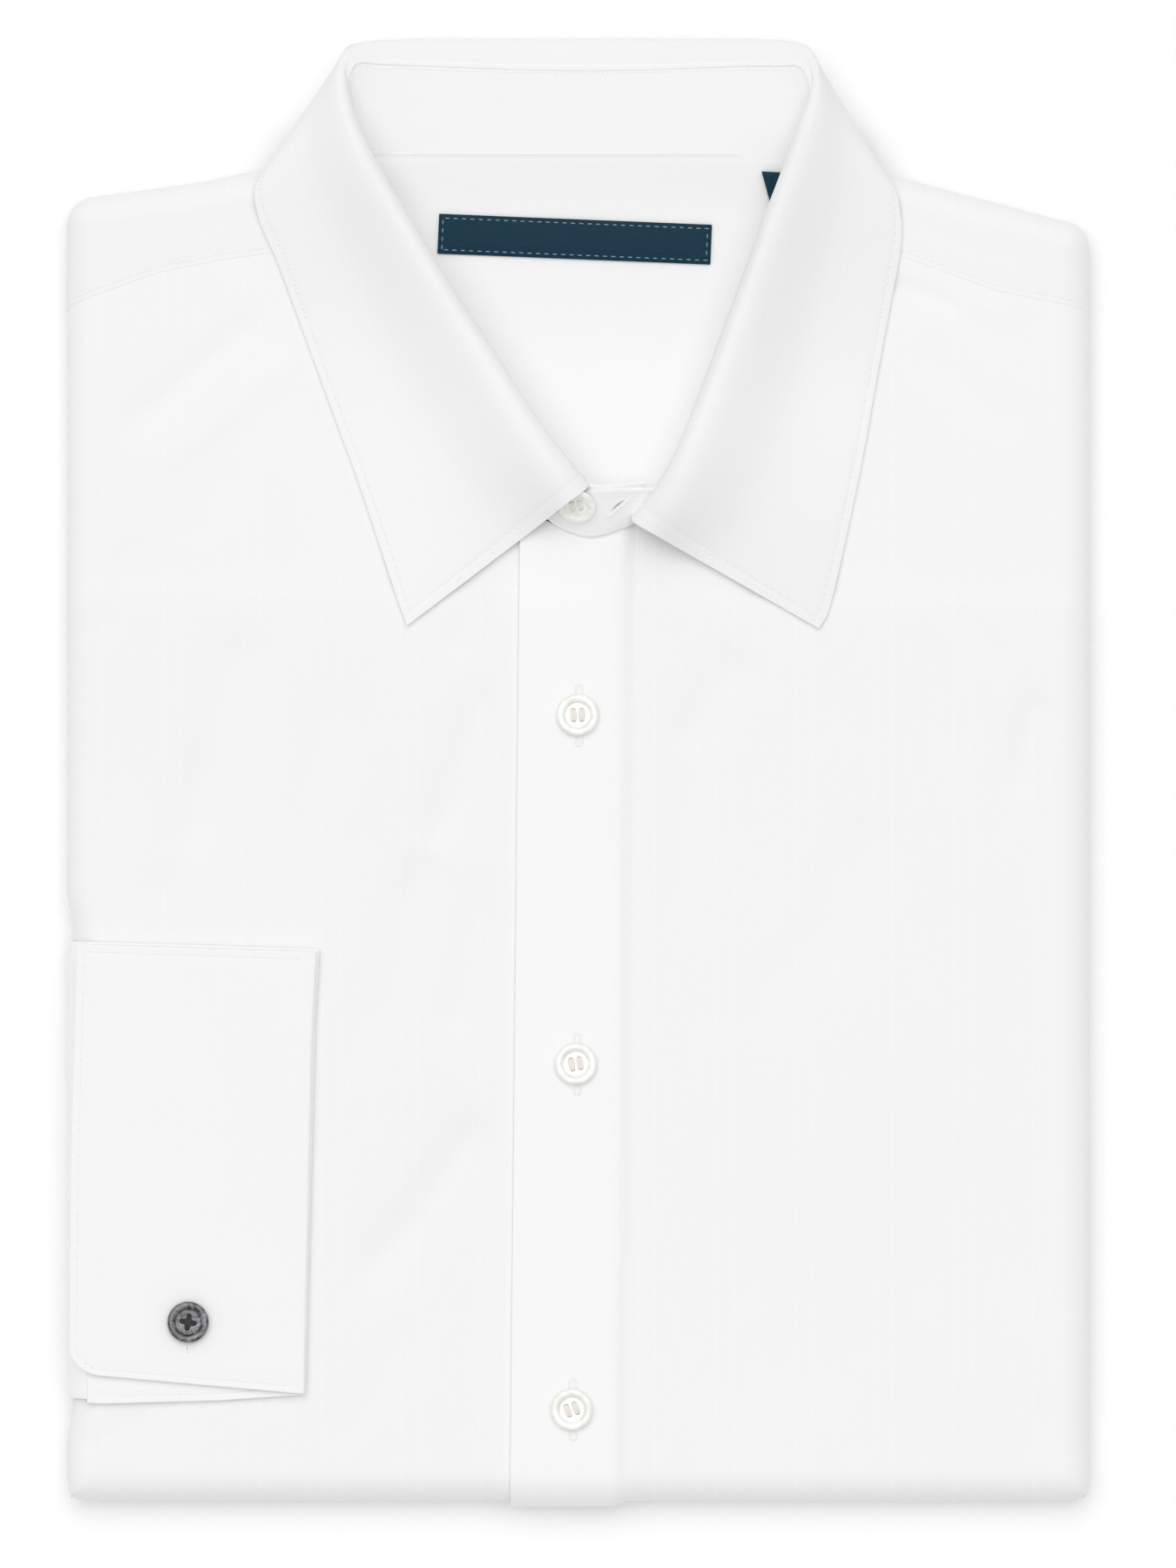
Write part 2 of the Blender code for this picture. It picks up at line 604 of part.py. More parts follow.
CUFF_BOTTOM = BODY_HEIGHT + GAP
CUFF_LEFT = ((-170.0, -139.9), (-158.0, -139.7), (-106.7, -139.3), (-47.0, -137.6))   # y, x
CUFF_RIGHT = ((-172.0, -74.7), (-119.6, -73.4), (-67.6, -72.1), (-48.0, -71.0))       # y, x
CUFF_TOP = ((-140.0, -46.2), (-71.0, -48.4))                                          # x, y
UPPER_CUFF_END = (
    (-139.9, -157.0), (-139.0, -160.6), (-136.6, -163.6), (-131.8, -165.5), (-76.6, -170.4),
    (-73.0, -170.7),
)
UNDER_CUFF_END = ((-140.0, -172.6), (-131.3, -173.3), (-98.6, -172.4), (-73.0, -170.7))
CUFF_COLUMNS = (0.0, 0.02, 0.06, 0.13, 0.45, 0.75, 1.0)
CUFF_ROWS = 6
FOLD_STEPS = 3


def sleeve_end(material):
    lengths = edge_lengths()[:SLEEVE_COLUMNS]

    def point(i, j, lift):
        y = SLEEVE_ROWS[j]
        if i < len(lengths):
            return front_point(edge_column(y, -1, lengths[i]), y, lift)
        return Vector((SLEEVE_SEAM, y, BODY_HEIGHT + lift))

    return wall_between(
        "sleeve_end", len(lengths), len(SLEEVE_ROWS) - 1,
        lambda i, j: point(i, j, GAP + FINE_CLOTH),
        lambda i, j: point(i, j, GAP), material)


def cuff_half(name, bottom, end_line, free_edge, material):
    """One half of the cuff, turned back on itself over a round fold at the wearer's wrist."""
    outer_radius = FINE_CLOTH + GAP / 2
    middle_z = bottom + outer_radius

    def path(distance):
        """Section of the half: upper wall, fold, lower wall, as share across and height."""
        marks = [(s, middle_z + distance, 0.0) for s in CUFF_COLUMNS]
        for k in range(1, FOLD_STEPS):
            turn = math.pi * k / FOLD_STEPS
            marks.append((1.0, middle_z + distance * math.cos(turn), distance * math.sin(turn)))
        marks += [(s, middle_z - distance, 0.0) for s in reversed(CUFF_COLUMNS)]
        return marks

    count = len(path(1.0))

    def point(i, j, distance):
        share, z, out = path(distance)[i]
        upper_wall = i < len(CUFF_COLUMNS)
        y = mix(CUFF_TOP[0][1], end_line[0][1], j / CUFF_ROWS)
        left = read_line(CUFF_LEFT, y) if upper_wall and free_edge else SLEEVE_SEAM + GAP
        right = read_line(CUFF_RIGHT, y) - outer_radius
        x = mix(left, right, share)
        y = mix(read_line(CUFF_TOP, x), read_line(end_line, x), j / CUFF_ROWS)
        return Vector((x + out, y, z))

    return wall_between(
        name, count - 1, CUFF_ROWS,
        lambda i, j: point(i, j, outer_radius),
        lambda i, j: point(i, j, GAP / 2), material)


# --- Buttons ---------------------------------------------------------------------------------

BUTTON_RADIUS = 5.7
COLLAR_BUTTON_RADIUS = 5.3
BUTTON_STEPS = 16
BUTTON_HOLE_RADIUS = 0.75
BUTTON_HOLE_SPREAD = 1.45  # from the button's middle to a hole's middle
# Turned profile, as shares of the radius: radius, height.
BUTTON_PROFILE = (
    (0.0, 0.0), (0.86, 0.0), (1.0, 0.14), (0.97, 0.33), (0.82, 0.37), (0.6, 0.23), (0.0, 0.21),
)
SHIRT_BUTTONS = ((-0.2, 15.7), (-0.7, -80.0), (-1.8, -174.8))
COLLAR_BUTTON_ROW = 3      # the collar button lies between this row of the overlap and the next
COLLAR_BUTTON_SHARES = (0.4, 0.7)    # across from that row, and up the stand
CUFF_BUTTON = (-107.3, -151.1)
CUFF_BUTTON_TURN = math.radians(15)


def turned_button(name, radius, material):
    bm = bmesh.new()
    points = [bm.verts.new((r * radius, 0.0, h * radius)) for r, h in BUTTON_PROFILE]
    edges = [bm.edges.new(pair) for pair in zip(points, points[1:])]
    bmesh.ops.spin(bm, geom=points + edges, cent=(0, 0, 0), axis=(0, 0, 1), dvec=(0, 0, 0),
                   angle=math.tau, steps=BUTTON_STEPS, use_merge=True, use_duplicate=False)
    bmesh.ops.remove_doubles(bm, verts=bm.verts, dist=0.001)
    button = add_object(name, bm, material)

    holes = bmesh.new()
    spread = BUTTON_HOLE_SPREAD * radius / BUTTON_RADIUS
    for k in range(4):
        turn = math.pi / 4 + k * math.pi / 2
        place = Matrix.Translation((spread * math.cos(turn), spread * math.sin(turn), 1.0))
        bmesh.ops.create_cone(holes, cap_ends=True, segments=6, radius1=BUTTON_HOLE_RADIUS,
                              radius2=BUTTON_HOLE_RADIUS, depth=6.0, matrix=place)
    cutter = add_object(name + "_holes", holes, material)
    cutter.parent = button
    cutter.hide_render = True
    cutter.display_type = "WIRE"
    cut = button.modifiers.new("thread holes", "BOOLEAN")
    cut.operation = "DIFFERENCE"
    cut.object = cutter
    return button


def place_collar_button(button):
    """Set the button on the sloping outer face of the overlap."""
    rows = OVERLAP_END[COLLAR_BUTTON_ROW:COLLAR_BUTTON_ROW + 2]
    (foot, top), (next_foot, next_top) = [(Vector(row[:3]), Vector(row[3:])) for row in rows]
    across, up = COLLAR_BUTTON_SHARES
    along = (foot - next_foot).lerp(top - next_top, up).normalized()
    slope = (top - foot).lerp(next_top - next_foot, across)
    normal = along.cross(slope).normalized()
    slope = normal.cross(along)
    spot = foot.lerp(next_foot, across).lerp(top.lerp(next_top, across), up)
    spot += normal * (COLLAR_CLOTH / 2 + 1.5 * GAP)
    turn = Matrix((along, slope, normal)).transposed().to_4x4()
    button.matrix_world = Matrix.Translation(spot * MM) @ turn


# --- Assembly --------------------------------------------------------------------------------

def build():
    for item in list(bpy.data.objects):
        bpy.data.objects.remove(item, do_unlink=True)

    cotton = make_material("white_cotton", (0.90, 0.90, 0.89), 0.85)
    satin = make_material("navy_satin", (0.013, 0.042, 0.068), 0.5)
    pearl = make_material("pearl_resin", (0.86, 0.85, 0.80), 0.25)
    gunmetal = make_material("smoke_resin", (0.06, 0.06, 0.065), 0.25, 0.3)

    hidden_layers(cotton)
    front_panel("right_front", -1, cotton)
    front_panel("left_front", 1, cotton)
    front_placket(cotton)
    yoke_strip("right_yoke", -1, cotton)
    yoke_strip("left_yoke", 1, cotton)
    inner_back(cotton)
    collar_stand(cotton)
    collar_leaf(cotton)
    neck_label(satin)
    size_tag(satin)

    sleeve_end(cotton)
    cuff_half("cuff_under_half", CUFF_BOTTOM, UNDER_CUFF_END, False, cotton)
    upper_half = CUFF_BOTTOM + 2 * FINE_CLOTH + 2 * GAP
    cuff_half("cuff_upper_half", upper_half, UPPER_CUFF_END, True, cotton)

    placket_top = BODY_HEIGHT + GAP + CLOTH
    for number, (x, y) in enumerate(SHIRT_BUTTONS, 1):
        button = turned_button(f"shirt_button_{number}", BUTTON_RADIUS, pearl)
        button.location = Vector((x, y, placket_top + GAP)) * MM
    place_collar_button(turned_button("collar_button", COLLAR_BUTTON_RADIUS, pearl))
    cuff_top = upper_half + 2 * FINE_CLOTH + GAP
    button = turned_button("cuff_button", BUTTON_RADIUS, gunmetal)
    button.location = Vector((*CUFF_BUTTON, cuff_top + GAP)) * MM
    button.rotation_euler.z = CUFF_BUTTON_TURN


build()
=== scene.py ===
"""Long sleeve dress shirt, folded flat on a white table.

Lengths are in millimetres and become metres when a piece is added.  +X is the wearer's left,
+Y points to the collar and +Z is up.
"""
import math

import bpy
import bmesh
from mathutils import Matrix, Vector, noise


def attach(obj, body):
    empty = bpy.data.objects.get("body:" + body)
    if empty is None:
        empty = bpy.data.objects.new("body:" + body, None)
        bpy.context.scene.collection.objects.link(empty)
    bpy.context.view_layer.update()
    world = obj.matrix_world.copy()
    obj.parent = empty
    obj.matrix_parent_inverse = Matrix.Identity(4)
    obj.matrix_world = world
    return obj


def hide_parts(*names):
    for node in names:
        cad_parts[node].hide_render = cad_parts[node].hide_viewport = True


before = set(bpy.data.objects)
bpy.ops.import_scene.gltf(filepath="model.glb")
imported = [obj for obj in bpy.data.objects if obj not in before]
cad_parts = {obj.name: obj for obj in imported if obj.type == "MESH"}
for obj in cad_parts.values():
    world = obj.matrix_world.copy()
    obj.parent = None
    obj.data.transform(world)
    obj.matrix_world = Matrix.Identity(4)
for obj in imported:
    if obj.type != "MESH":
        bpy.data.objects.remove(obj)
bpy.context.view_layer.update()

# ----------------------------------------------------------
# The table, the lamp and the camera.
# A glowing white board as in a light tent, one far soft lamp that leans a little towards the
# collar and the wearer's right, a pale room all round, and a long lens straight above.
# ----------------------------------------------------------

MM = 0.001
VIEW_CENTRE = (2.64, -3.24)        # what the middle of the picture shows, on the shirt
VIEW_HEIGHT = 430.8                # how much of the table the picture's long side shows
VIEW_PLANE = 12.0                  # height at which it shows that much
CAMERA_ABOVE = 4800.0
FILM = 36.0
LAMP_FROM = (-0.06, 0.27, 0.96)    # direction of the lamp
LAMP_WIDTH = 60.0                  # seen from the shirt, in degrees
LAMP_POWER = 1.322
ROOM_LIGHT = 0.595
BOARD_GLOW = 0.05
BOARD_REACH = 3.0                  # half of the board's side, in metres
VIEW_END = 30.0                    # the camera sees this far, in metres
WHITE = (1.0, 1.0, 1.0, 1.0)


def linear(hex_colour):
    """A colour written in sRGB hex, as the linear values that a shader takes."""
    channels = [int(hex_colour[k:k + 2], 16) / 255.0 for k in (1, 3, 5)]
    return [c / 12.92 if c <= 0.04045 else ((c + 0.055) / 1.055) ** 2.4 for c in channels] + [1.0]


def add_node(tree, kind, inputs=None, **settings):
    """Add a node with its settings, and fill or link its inputs."""
    node = tree.nodes.new(kind)
    for name, value in settings.items():
        setattr(node, name, value)
    for place, value in (inputs or {}).items():
        if isinstance(value, bpy.types.NodeSocket):
            tree.links.new(value, node.inputs[place])
        else:
            node.inputs[place].default_value = value
    return node


def start_finish(name, **even):
    """A material whose even values are set on its shader's own sockets; Coat_Weight=0.5 sets
    the socket Coat Weight."""
    material = bpy.data.materials.new(name)
    material.use_nodes = True
    tree = material.node_tree
    shader = tree.nodes["Principled BSDF"]
    for socket, value in even.items():
        shader.inputs[socket.replace("_", " ")].default_value = value
    return material, tree, shader


def put_in_scene(name, data):
    item = bpy.data.objects.new(name, data)
    bpy.context.scene.collection.objects.link(item)
    return item


board_finish = start_finish("matt_white_board", Roughness=0.9, Base_Color=linear("#FAFAFA"),
                            Emission_Color=WHITE, Emission_Strength=BOARD_GLOW)[0]
bm = bmesh.new()
bmesh.ops.create_grid(bm, x_segments=4, y_segments=4, size=BOARD_REACH)
board_mesh = bpy.data.meshes.new("table_board")
bm.to_mesh(board_mesh)
bm.free()
board_mesh.materials.append(board_finish)
put_in_scene("table_board", board_mesh)

room = bpy.data.worlds.new("pale_room")
room.use_nodes = True
room_light = room.node_tree.nodes["Background"]
room_light.inputs["Color"].default_value = WHITE
room_light.inputs["Strength"].default_value = ROOM_LIGHT
bpy.context.scene.world = room

lamp_data = bpy.data.lights.new("soft_lamp", "SUN")
lamp_data.angle = math.radians(LAMP_WIDTH)
lamp_data.energy = LAMP_POWER
lamp = put_in_scene("soft_lamp", lamp_data)
lamp.rotation_euler = Vector(LAMP_FROM).to_track_quat("Z", "Y").to_euler()

camera_data = bpy.data.cameras.new("camera_above")
camera_data.sensor_width = FILM
camera_data.lens = FILM * CAMERA_ABOVE / VIEW_HEIGHT
camera_data.clip_end = VIEW_END
camera = put_in_scene("camera_above", camera_data)
camera.location = Vector((*VIEW_CENTRE, VIEW_PLANE + CAMERA_ABOVE)) * MM
bpy.context.scene.camera = camera
bpy.context.scene.view_settings.view_transform = "Standard"

# ----------------------------------------------------------
# The folded stack: back, sleeves and tail.
# Several layers of the same white cotton, folded in behind the fronts and pressed flat.  Their
# folds show as a pile of soft round lips below the edge of the fronts, painted grey as shade.
# ----------------------------------------------------------

SIDE_FOLD = 140.6          # from the middle to each side fold
BOTTOM_FOLD = -200.4       # the fold across the lower end
BODY_HEIGHT = 17.0         # top of the fronts above the table
FOLD_REACH = 8.0           # width of the round edge, seen from above
SIDE_FLAT = SIDE_FOLD - FOLD_REACH     # the flat middle ends here at a side
FLAT_FROM = BOTTOM_FOLD + FOLD_REACH   # and starts here at the lower end
FOLD_DROP = 10.0           # height of the round edge
FOLD_LENGTH = 9.0          # cloth used by one radian of the round edge
CORNER_SQUARE = 0.6        # 0 makes the lower corners round in plan, 1 makes them square
TUCK_RADIUS = 1.3          # below the round edge the cloth turns in with this radius
TUCK_RATE = 12.0
TUCK_TURN = 1.45           # and stops at this angle, in radians
SLEEVE_PRESS = 1.6         # how far the sleeve's end pushes the side fold in
SLEEVE_PRESS_FROM = -184.0
SLEEVE_PRESS_TO = -33.0
SLEEVE_EASE = 10.5
FOLD_WAVER = 0.3           # the side folds aren't quite straight
THIN_END_FROM = 44.0       # the stack is thinner near the shoulders
THIN_END_TO = 58.0
THIN_END_STEP = 0.45
LAYER_EDGE_STEP = 0.45     # and one hidden layer ends along a line across the chest
LAYER_EDGE_Y = (50.3, 46.0)            # at the wearer's right side and at the left
CLOTH_ROOM = 1.6           # from the outside of the fronts to the layers below
CORE_ROOM = 0.5            # extra room under the middle of the fronts
NECK_FLOOR = 13.0          # inside of the back, in the neck
NECK_MARGIN = 13.0         # the hidden layers stay low this far round the neck
NECK_EASE = 16.0           # and rise to the fronts over this width
CORE_CELL = 4.0            # cells of the hidden layers
CORE_UPPER_CELLS = 24
UPPER_START = 60.0         # above this the rows bend towards the yoke seam
UPPER_END = 143.0

# The shoulder line, seen from above: x, y.
SHOULDER_LINE = (
    (-141.0, 154.6), (-135.0, 158.0), (-105.0, 162.0), (-89.3, 165.2), (-62.0, 169.0),
    (-55.0, 173.0), (55.0, 173.0), (62.0, 168.6), (84.2, 164.5), (117.0, 156.0),
    (137.5, 150.4), (141.0, 148.0),
)
# The neck seam of the fronts: y, x on the wearer's right, x on the wearer's left.
NECK_LINE = (
    (64.0, 3.0, 3.0), (66.0, -4.0, 10.0), (70.0, -11.0, 19.5), (78.0, -19.5, 33.5),
    (90.0, -28.5, 43.0), (105.0, -38.5, 51.5), (120.0, -47.5, 58.0), (140.0, -58.5, 65.0),
    (155.0, -65.0, 68.5), (168.0, -67.0, 69.5),
)
# Main creases that run through all layers: x0, y0, x1, y1, half width, depth.
MAIN_CREASES = (
    (-22.0, 26.0, -41.3, -21.7, 7.0, 1.0),
    (-41.3, -21.7, -54.2, -75.2, 8.0, 0.8),
    (-23.0, -32.0, -35.8, -73.6, 6.0, 0.6),
    (-24.0, -94.0, -59.8, -142.0, 8.0, 0.9),
    (-91.2, 41.4, -108.0, -25.3, 8.0, 0.9),
    (45.8, 34.0, 27.1, 4.2, 8.0, 0.8),
    (82.8, -10.0, 66.0, -58.0, 8.0, 0.6),
    (126.0, 22.0, 120.0, -8.0, 5.0, 0.8),
)
CREASE_FREE = 19.0         # half width of the uncreased strip along the placket
CREASE_EASE = 8.0

# Folded lips in the pile, from above: top, bottom, inset of the lip from the outline.
LIPS = ((5.5, 3.9, 0.9), (3.8, 2.5, 0.4), (2.4, 1.25, 1.2), (1.15, 0.0, 0.7))
LIP_GROOVE = 2.5           # inset of the groove between two lips
LIP_STEPS = 6
LIP_WAVER = 0.7
LIP_SWAY = 0.2             # the lips also rise and fall along their run
LIP_SWAY_FROM = 0.6        # but not on the table
# On the underside the tail is folded up to this hem: x, y.
TAIL_HEM = ((-141.0, 20.0), (-90.0, 22.0), (-45.0, 52.0), (0.0, 66.0), (45.0, 52.0), (90.0, 22.0),
            (141.0, 20.0))
HEM_STEP = 0.9
HEM_EASE = 1.5
# Above the hem the two sleeves lie folded down the back: x from, x to.
SLEEVE_STRIPS = ((-118.0, -38.0), (36.0, 116.0))
SLEEVE_STEP = 0.5
SLEEVE_LEAN = 0.05
CRUMPLE = 0.12             # unevenness of the underside


def clamp(value, low, high):
    return max(low, min(high, value))


def mix(a, b, t):
    return a + (b - a) * t


def soft(t):
    """Smooth step from 0 to 1."""
    t = clamp(t, 0.0, 1.0)
    return t * t * (3.0 - 2.0 * t)


def read_line(table, key, column=1):
    """Value of a column of a table whose first column rises, between its rows."""
    if key <= table[0][0]:
        return table[0][column]
    for low, high in zip(table, table[1:]):
        if key <= high[0]:
            return mix(low[column], high[column], (key - low[0]) / (high[0] - low[0]))
    return table[-1][column]


def spread(start, end, pitch):
    """Values from start to end, about a pitch apart."""
    count = max(1, round(abs(end - start) / pitch))
    return [mix(start, end, k / count) for k in range(count + 1)]


def waver(x, y, layer, size):
    """Slow irregularity of cloth, between -1 and 1."""
    return noise.noise(Vector((x / size, y / size, layer)))


def side_fold(y, side):
    """X of a side fold; the sleeve's end presses in the one on the wearer's right."""
    if side > 0:
        return SIDE_FOLD + FOLD_WAVER * waver(0.0, y, 4.3, 48.0)
    pressed = SLEEVE_PRESS * soft((SLEEVE_PRESS_TO - y) / SLEEVE_EASE)
    pressed *= soft((y - SLEEVE_PRESS_FROM) / SLEEVE_EASE)
    return -SIDE_FOLD + pressed + FOLD_WAVER * waver(0.0, y, 9.1, 55.0)


def edge_column(y, side, length):
    """Sheet coordinate of a point that lies length beyond the flat middle, on one side."""
    return side_fold(max(y, FLAT_FROM), side) + side * (length - FOLD_REACH)


def crease_depth(x, y, creases):
    """How deep the creases are there: round grooves that run out at both ends."""
    depth = 0.0
    for x0, y0, x1, y1, half_width, deepest in creases:
        run_x, run_y = x1 - x0, y1 - y0
        along = ((x - x0) * run_x + (y - y0) * run_y) / (run_x * run_x + run_y * run_y)
        along = clamp(along, 0.0, 1.0)
        away = math.hypot(x - x0 - run_x * along, y - y0 - run_y * along)
        if away < 3.0 * half_width:
            ends = soft(along * 4.0 + 0.2) * soft((1.0 - along) * 4.0 + 0.2)
            depth += deepest * ends * math.exp(-(away / half_width) ** 2)
    return depth * soft((abs(x) - CREASE_FREE) / CREASE_EASE)


def stack_height(x, y):
    """Top of the folded stack, outside of the fronts, without creases."""
    layer_edge = mix(*LAYER_EDGE_Y, (x + SIDE_FOLD) / (2.0 * SIDE_FOLD))
    thinner = THIN_END_STEP * soft((y - THIN_END_FROM) / (THIN_END_TO - THIN_END_FROM))
    return BODY_HEIGHT - thinner - LAYER_EDGE_STEP * soft((y - layer_edge + 2.0) / 5.0)


def body_point(u, v, lift, height):
    """Point of the cloth (u, v) wrapped over the rounded stack, moved out by lift."""
    flat_y = max(v, FLAT_FROM)
    flat_x = clamp(u, side_fold(flat_y, -1) + FOLD_REACH, side_fold(flat_y, 1) - FOLD_REACH)
    flat_y = min(flat_y, read_line(SHOULDER_LINE, flat_x) - FOLD_REACH)
    beyond = Vector((u - flat_x, v - flat_y))
    reach = max(abs(beyond.x), abs(beyond.y))
    top = height(flat_x, flat_y)
    if reach < 1e-6:
        return Vector((flat_x, flat_y, top + lift))
    turn = reach / FOLD_LENGTH
    if turn <= math.pi / 2:
        out = (FOLD_REACH + lift) * math.sin(turn)
        rise = top - FOLD_DROP + (FOLD_DROP + lift) * math.cos(turn)
    else:
        curl = min((turn - math.pi / 2) * TUCK_RATE, TUCK_TURN)
        out = FOLD_REACH + lift - TUCK_RADIUS * (1.0 - math.cos(curl))
        rise = top - FOLD_DROP - TUCK_RADIUS * math.sin(curl)
    corner = (beyond.length / reach) ** CORNER_SQUARE if beyond.y < 0 else 1.0
    outward = beyond.normalized() * out * corner
    return Vector((flat_x + outward.x, flat_y + outward.y, rise))


def neck_mask(x, y):
    """1 within the neck and just around it, 0 further out."""
    outside = max(read_line(NECK_LINE, y, 1) - x, x - read_line(NECK_LINE, y, 2),
                  NECK_LINE[0][0] - y)
    return 1.0 - soft((outside - NECK_MARGIN) / NECK_EASE)


def core_height(x, y):
    """Top of the hidden layers: low in the neck, close under the fronts elsewhere."""
    inside = min(x - side_fold(y, -1), side_fold(y, 1) - x, y - BOTTOM_FOLD,
                 read_line(SHOULDER_LINE, x) - y)
    room = CORE_ROOM * soft((inside - FOLD_REACH) / 10.0)
    under_fronts = stack_height(x, y) - crease_depth(x, y, MAIN_CREASES) - room
    return mix(under_fronts, NECK_FLOOR, neck_mask(x, y))


def underside(x, y):
    """Low steps where the folded layers end on the underside."""
    above_hem = soft((y - read_line(TAIL_HEM, x)) / HEM_EASE)
    on_sleeve = 0.0
    for start, end in SLEEVE_STRIPS:
        on_sleeve += (soft((x - start - SLEEVE_LEAN * y) / HEM_EASE)
                      * soft((end - SLEEVE_LEAN * y - x) / HEM_EASE))
    inside = min(x + SIDE_FOLD, SIDE_FOLD - x, y - BOTTOM_FOLD, read_line(SHOULDER_LINE, x) - y)
    crumple = CRUMPLE * (1.0 + waver(x, y, 2.2, 30.0))
    return (above_hem * (HEM_STEP - SLEEVE_STEP * on_sleeve) + crumple) * soft((inside - 7.0) / 9.0)


def cloth_grid(columns, rows, point_at, sheet_at):
    """Cells of cloth: corner (i, j) lies at point_at(i, j) and was cut at sheet_at(i, j)."""
    bm = bmesh.new()
    bmesh.ops.create_grid(bm, x_segments=columns, y_segments=rows, size=1.0)
    sheet = bm.loops.layers.uv.new("sheet")
    cut = {}
    for vert in bm.verts:
        i = round((vert.co.x + 1.0) / 2.0 * columns)
        j = round((vert.co.y + 1.0) / 2.0 * rows)
        vert.co = point_at(i, j)
        cut[vert] = Vector(sheet_at(i, j)) * MM
    for face in bm.faces:
        for loop in face.loops:
            loop[sheet].uv = cut[loop.vert]
    return bm


def add_piece(name, bm, finish, facing=None):
    """A bmesh in millimetres becomes a smooth piece of the shirt in metres.

    Open cloth is turned to face one way; a closed piece faces out.
    """
    bmesh.ops.scale(bm, vec=(MM, MM, MM), verts=bm.verts)
    if facing:
        bm.normal_update()
        faced = sum((face.normal * face.calc_area() for face in bm.faces), Vector())
        turned = faced.dot(Vector(facing)) < 0
    else:
        bmesh.ops.recalc_face_normals(bm, faces=bm.faces)
        turned = bm.calc_volume(signed=True) < 0
    if turned:
        bmesh.ops.reverse_faces(bm, faces=bm.faces)
    mesh = bpy.data.meshes.new(name)
    bm.to_mesh(mesh)
    bm.free()
    mesh.materials.append(finish)
    mesh.shade_smooth()
    piece = put_in_scene(name, mesh)
    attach(piece, "root")
    return piece


# White cotton poplin with a woven self stripe: matt, with a faint bloom from its fibres, single
# thicker yarns along the warp, and pairs of raised hair lines.  Its yarns are 0.2 mm apart and
# are drawn about 0.5 mm apart, so that they show.
STRIPE_REPEAT = 21.68
STRIPE_PAIR = 4.7
STRIPE_START = -135.4
STRIPE_WIDTH = 0.28
YARN = 0.5
YARN_RUN = 7.0
SLUB = 0.5
SLUB_RUN = 13.0
SLUB_SHARE = 0.4           # a slub stands out less than a stripe
SLUB_NOISE = (0.64, 0.82)  # noise is a slub from the first value, fully from the second
CLOUD = (60.0, 80.0)       # slow cloudiness of the white
WEAVE_RELIEF = (0.16, 0.12)    # strength and depth
BACKED_SHARE = 0.12        # how much greyer backed cloth looks
RAISED_SHARE = 0.26        # how much whiter raised yarns look
PAINTED_SHADE = "#A6A8AA"          # painted shade: cloth in the narrow gaps between folds, and parts of other pieces in shade


def combine(tree, operation, *values):
    """What one step of arithmetic gives."""
    return add_node(tree, "ShaderNodeMath", dict(enumerate(values)), operation=operation).outputs[0]


def tint(tree, share, first, second):
    """A colour between two; each is written in hex or comes from a node."""
    first, second = [linear(end) if isinstance(end, str) else end for end in (first, second)]
    mixed = add_node(tree, "ShaderNodeMix", {0: share, 6: first, 7: second}, data_type="RGBA")
    return mixed.outputs[2]


def emboss(tree, shader, height, strength, depth):
    """Small relief of the surface, this deep."""
    relief = add_node(tree, "ShaderNodeBump", {
        "Height": height, "Strength": strength, "Distance": depth * MM})
    tree.links.new(relief.outputs["Normal"], shader.inputs["Normal"])


def yarn_noise(tree, vector, width, run, detail=2.0):
    """Noise drawn out along one direction of the cloth, in real yarn widths and lengths."""
    placed = add_node(tree, "ShaderNodeMapping", {
        "Vector": vector, "Scale": (1.0 / (width * MM), 1.0 / (run * MM), 1.0)})
    yarns = {"Vector": placed.outputs[0], "Scale": 1.0, "Detail": detail}
    return add_node(tree, "ShaderNodeTexNoise", yarns, noise_dimensions="2D").outputs[0]


poplin, tree, shader = start_finish("white_cotton_poplin", Roughness=0.88, Sheen_Weight=0.1,
                                    Sheen_Roughness=0.5, Specular_IOR_Level=0.25)
on_sheet = add_node(tree, "ShaderNodeUVMap", uv_map="sheet").outputs["UV"]
across = add_node(tree, "ShaderNodeSeparateXYZ", {"Vector": on_sheet}).outputs["X"]
lines = []
for start in (STRIPE_START, STRIPE_START + STRIPE_PAIR):
    away = combine(tree, "SUBTRACT", across, start * MM)
    away = combine(tree, "WRAP", away, STRIPE_REPEAT * MM / 2, -STRIPE_REPEAT * MM / 2)
    lines.append(add_node(tree, "ShaderNodeMapRange", {
        "Value": combine(tree, "ABSOLUTE", away), "From Min": STRIPE_WIDTH * MM,
        "From Max": STRIPE_WIDTH * MM * 0.3}).outputs["Result"])
stripes = combine(tree, "MAXIMUM", *lines)
slubs = add_node(tree, "ShaderNodeMapRange", {
    "Value": yarn_noise(tree, on_sheet, SLUB, SLUB_RUN, 0.0),
    "From Min": SLUB_NOISE[0], "From Max": SLUB_NOISE[1]})
raised = combine(tree, "MULTIPLY_ADD", slubs.outputs[0], SLUB_SHARE, stripes)
marked = {name: add_node(tree, "ShaderNodeAttribute", attribute_name=name).outputs["Fac"]
          for name in ("plainer", "backed", "doubled", "shaded")}
raised = combine(tree, "MULTIPLY", raised, combine(tree, "SUBTRACT", 1.0, marked["plainer"]))
weave = combine(tree, "ADD", yarn_noise(tree, on_sheet, YARN, YARN_RUN),
                yarn_noise(tree, on_sheet, YARN_RUN, YARN))
emboss(tree, shader, combine(tree, "MULTIPLY_ADD", weave, 0.5, raised), *WEAVE_RELIEF)
ground = tint(tree, yarn_noise(tree, on_sheet, *CLOUD), "#F4F4F4", "#F6F6F6")
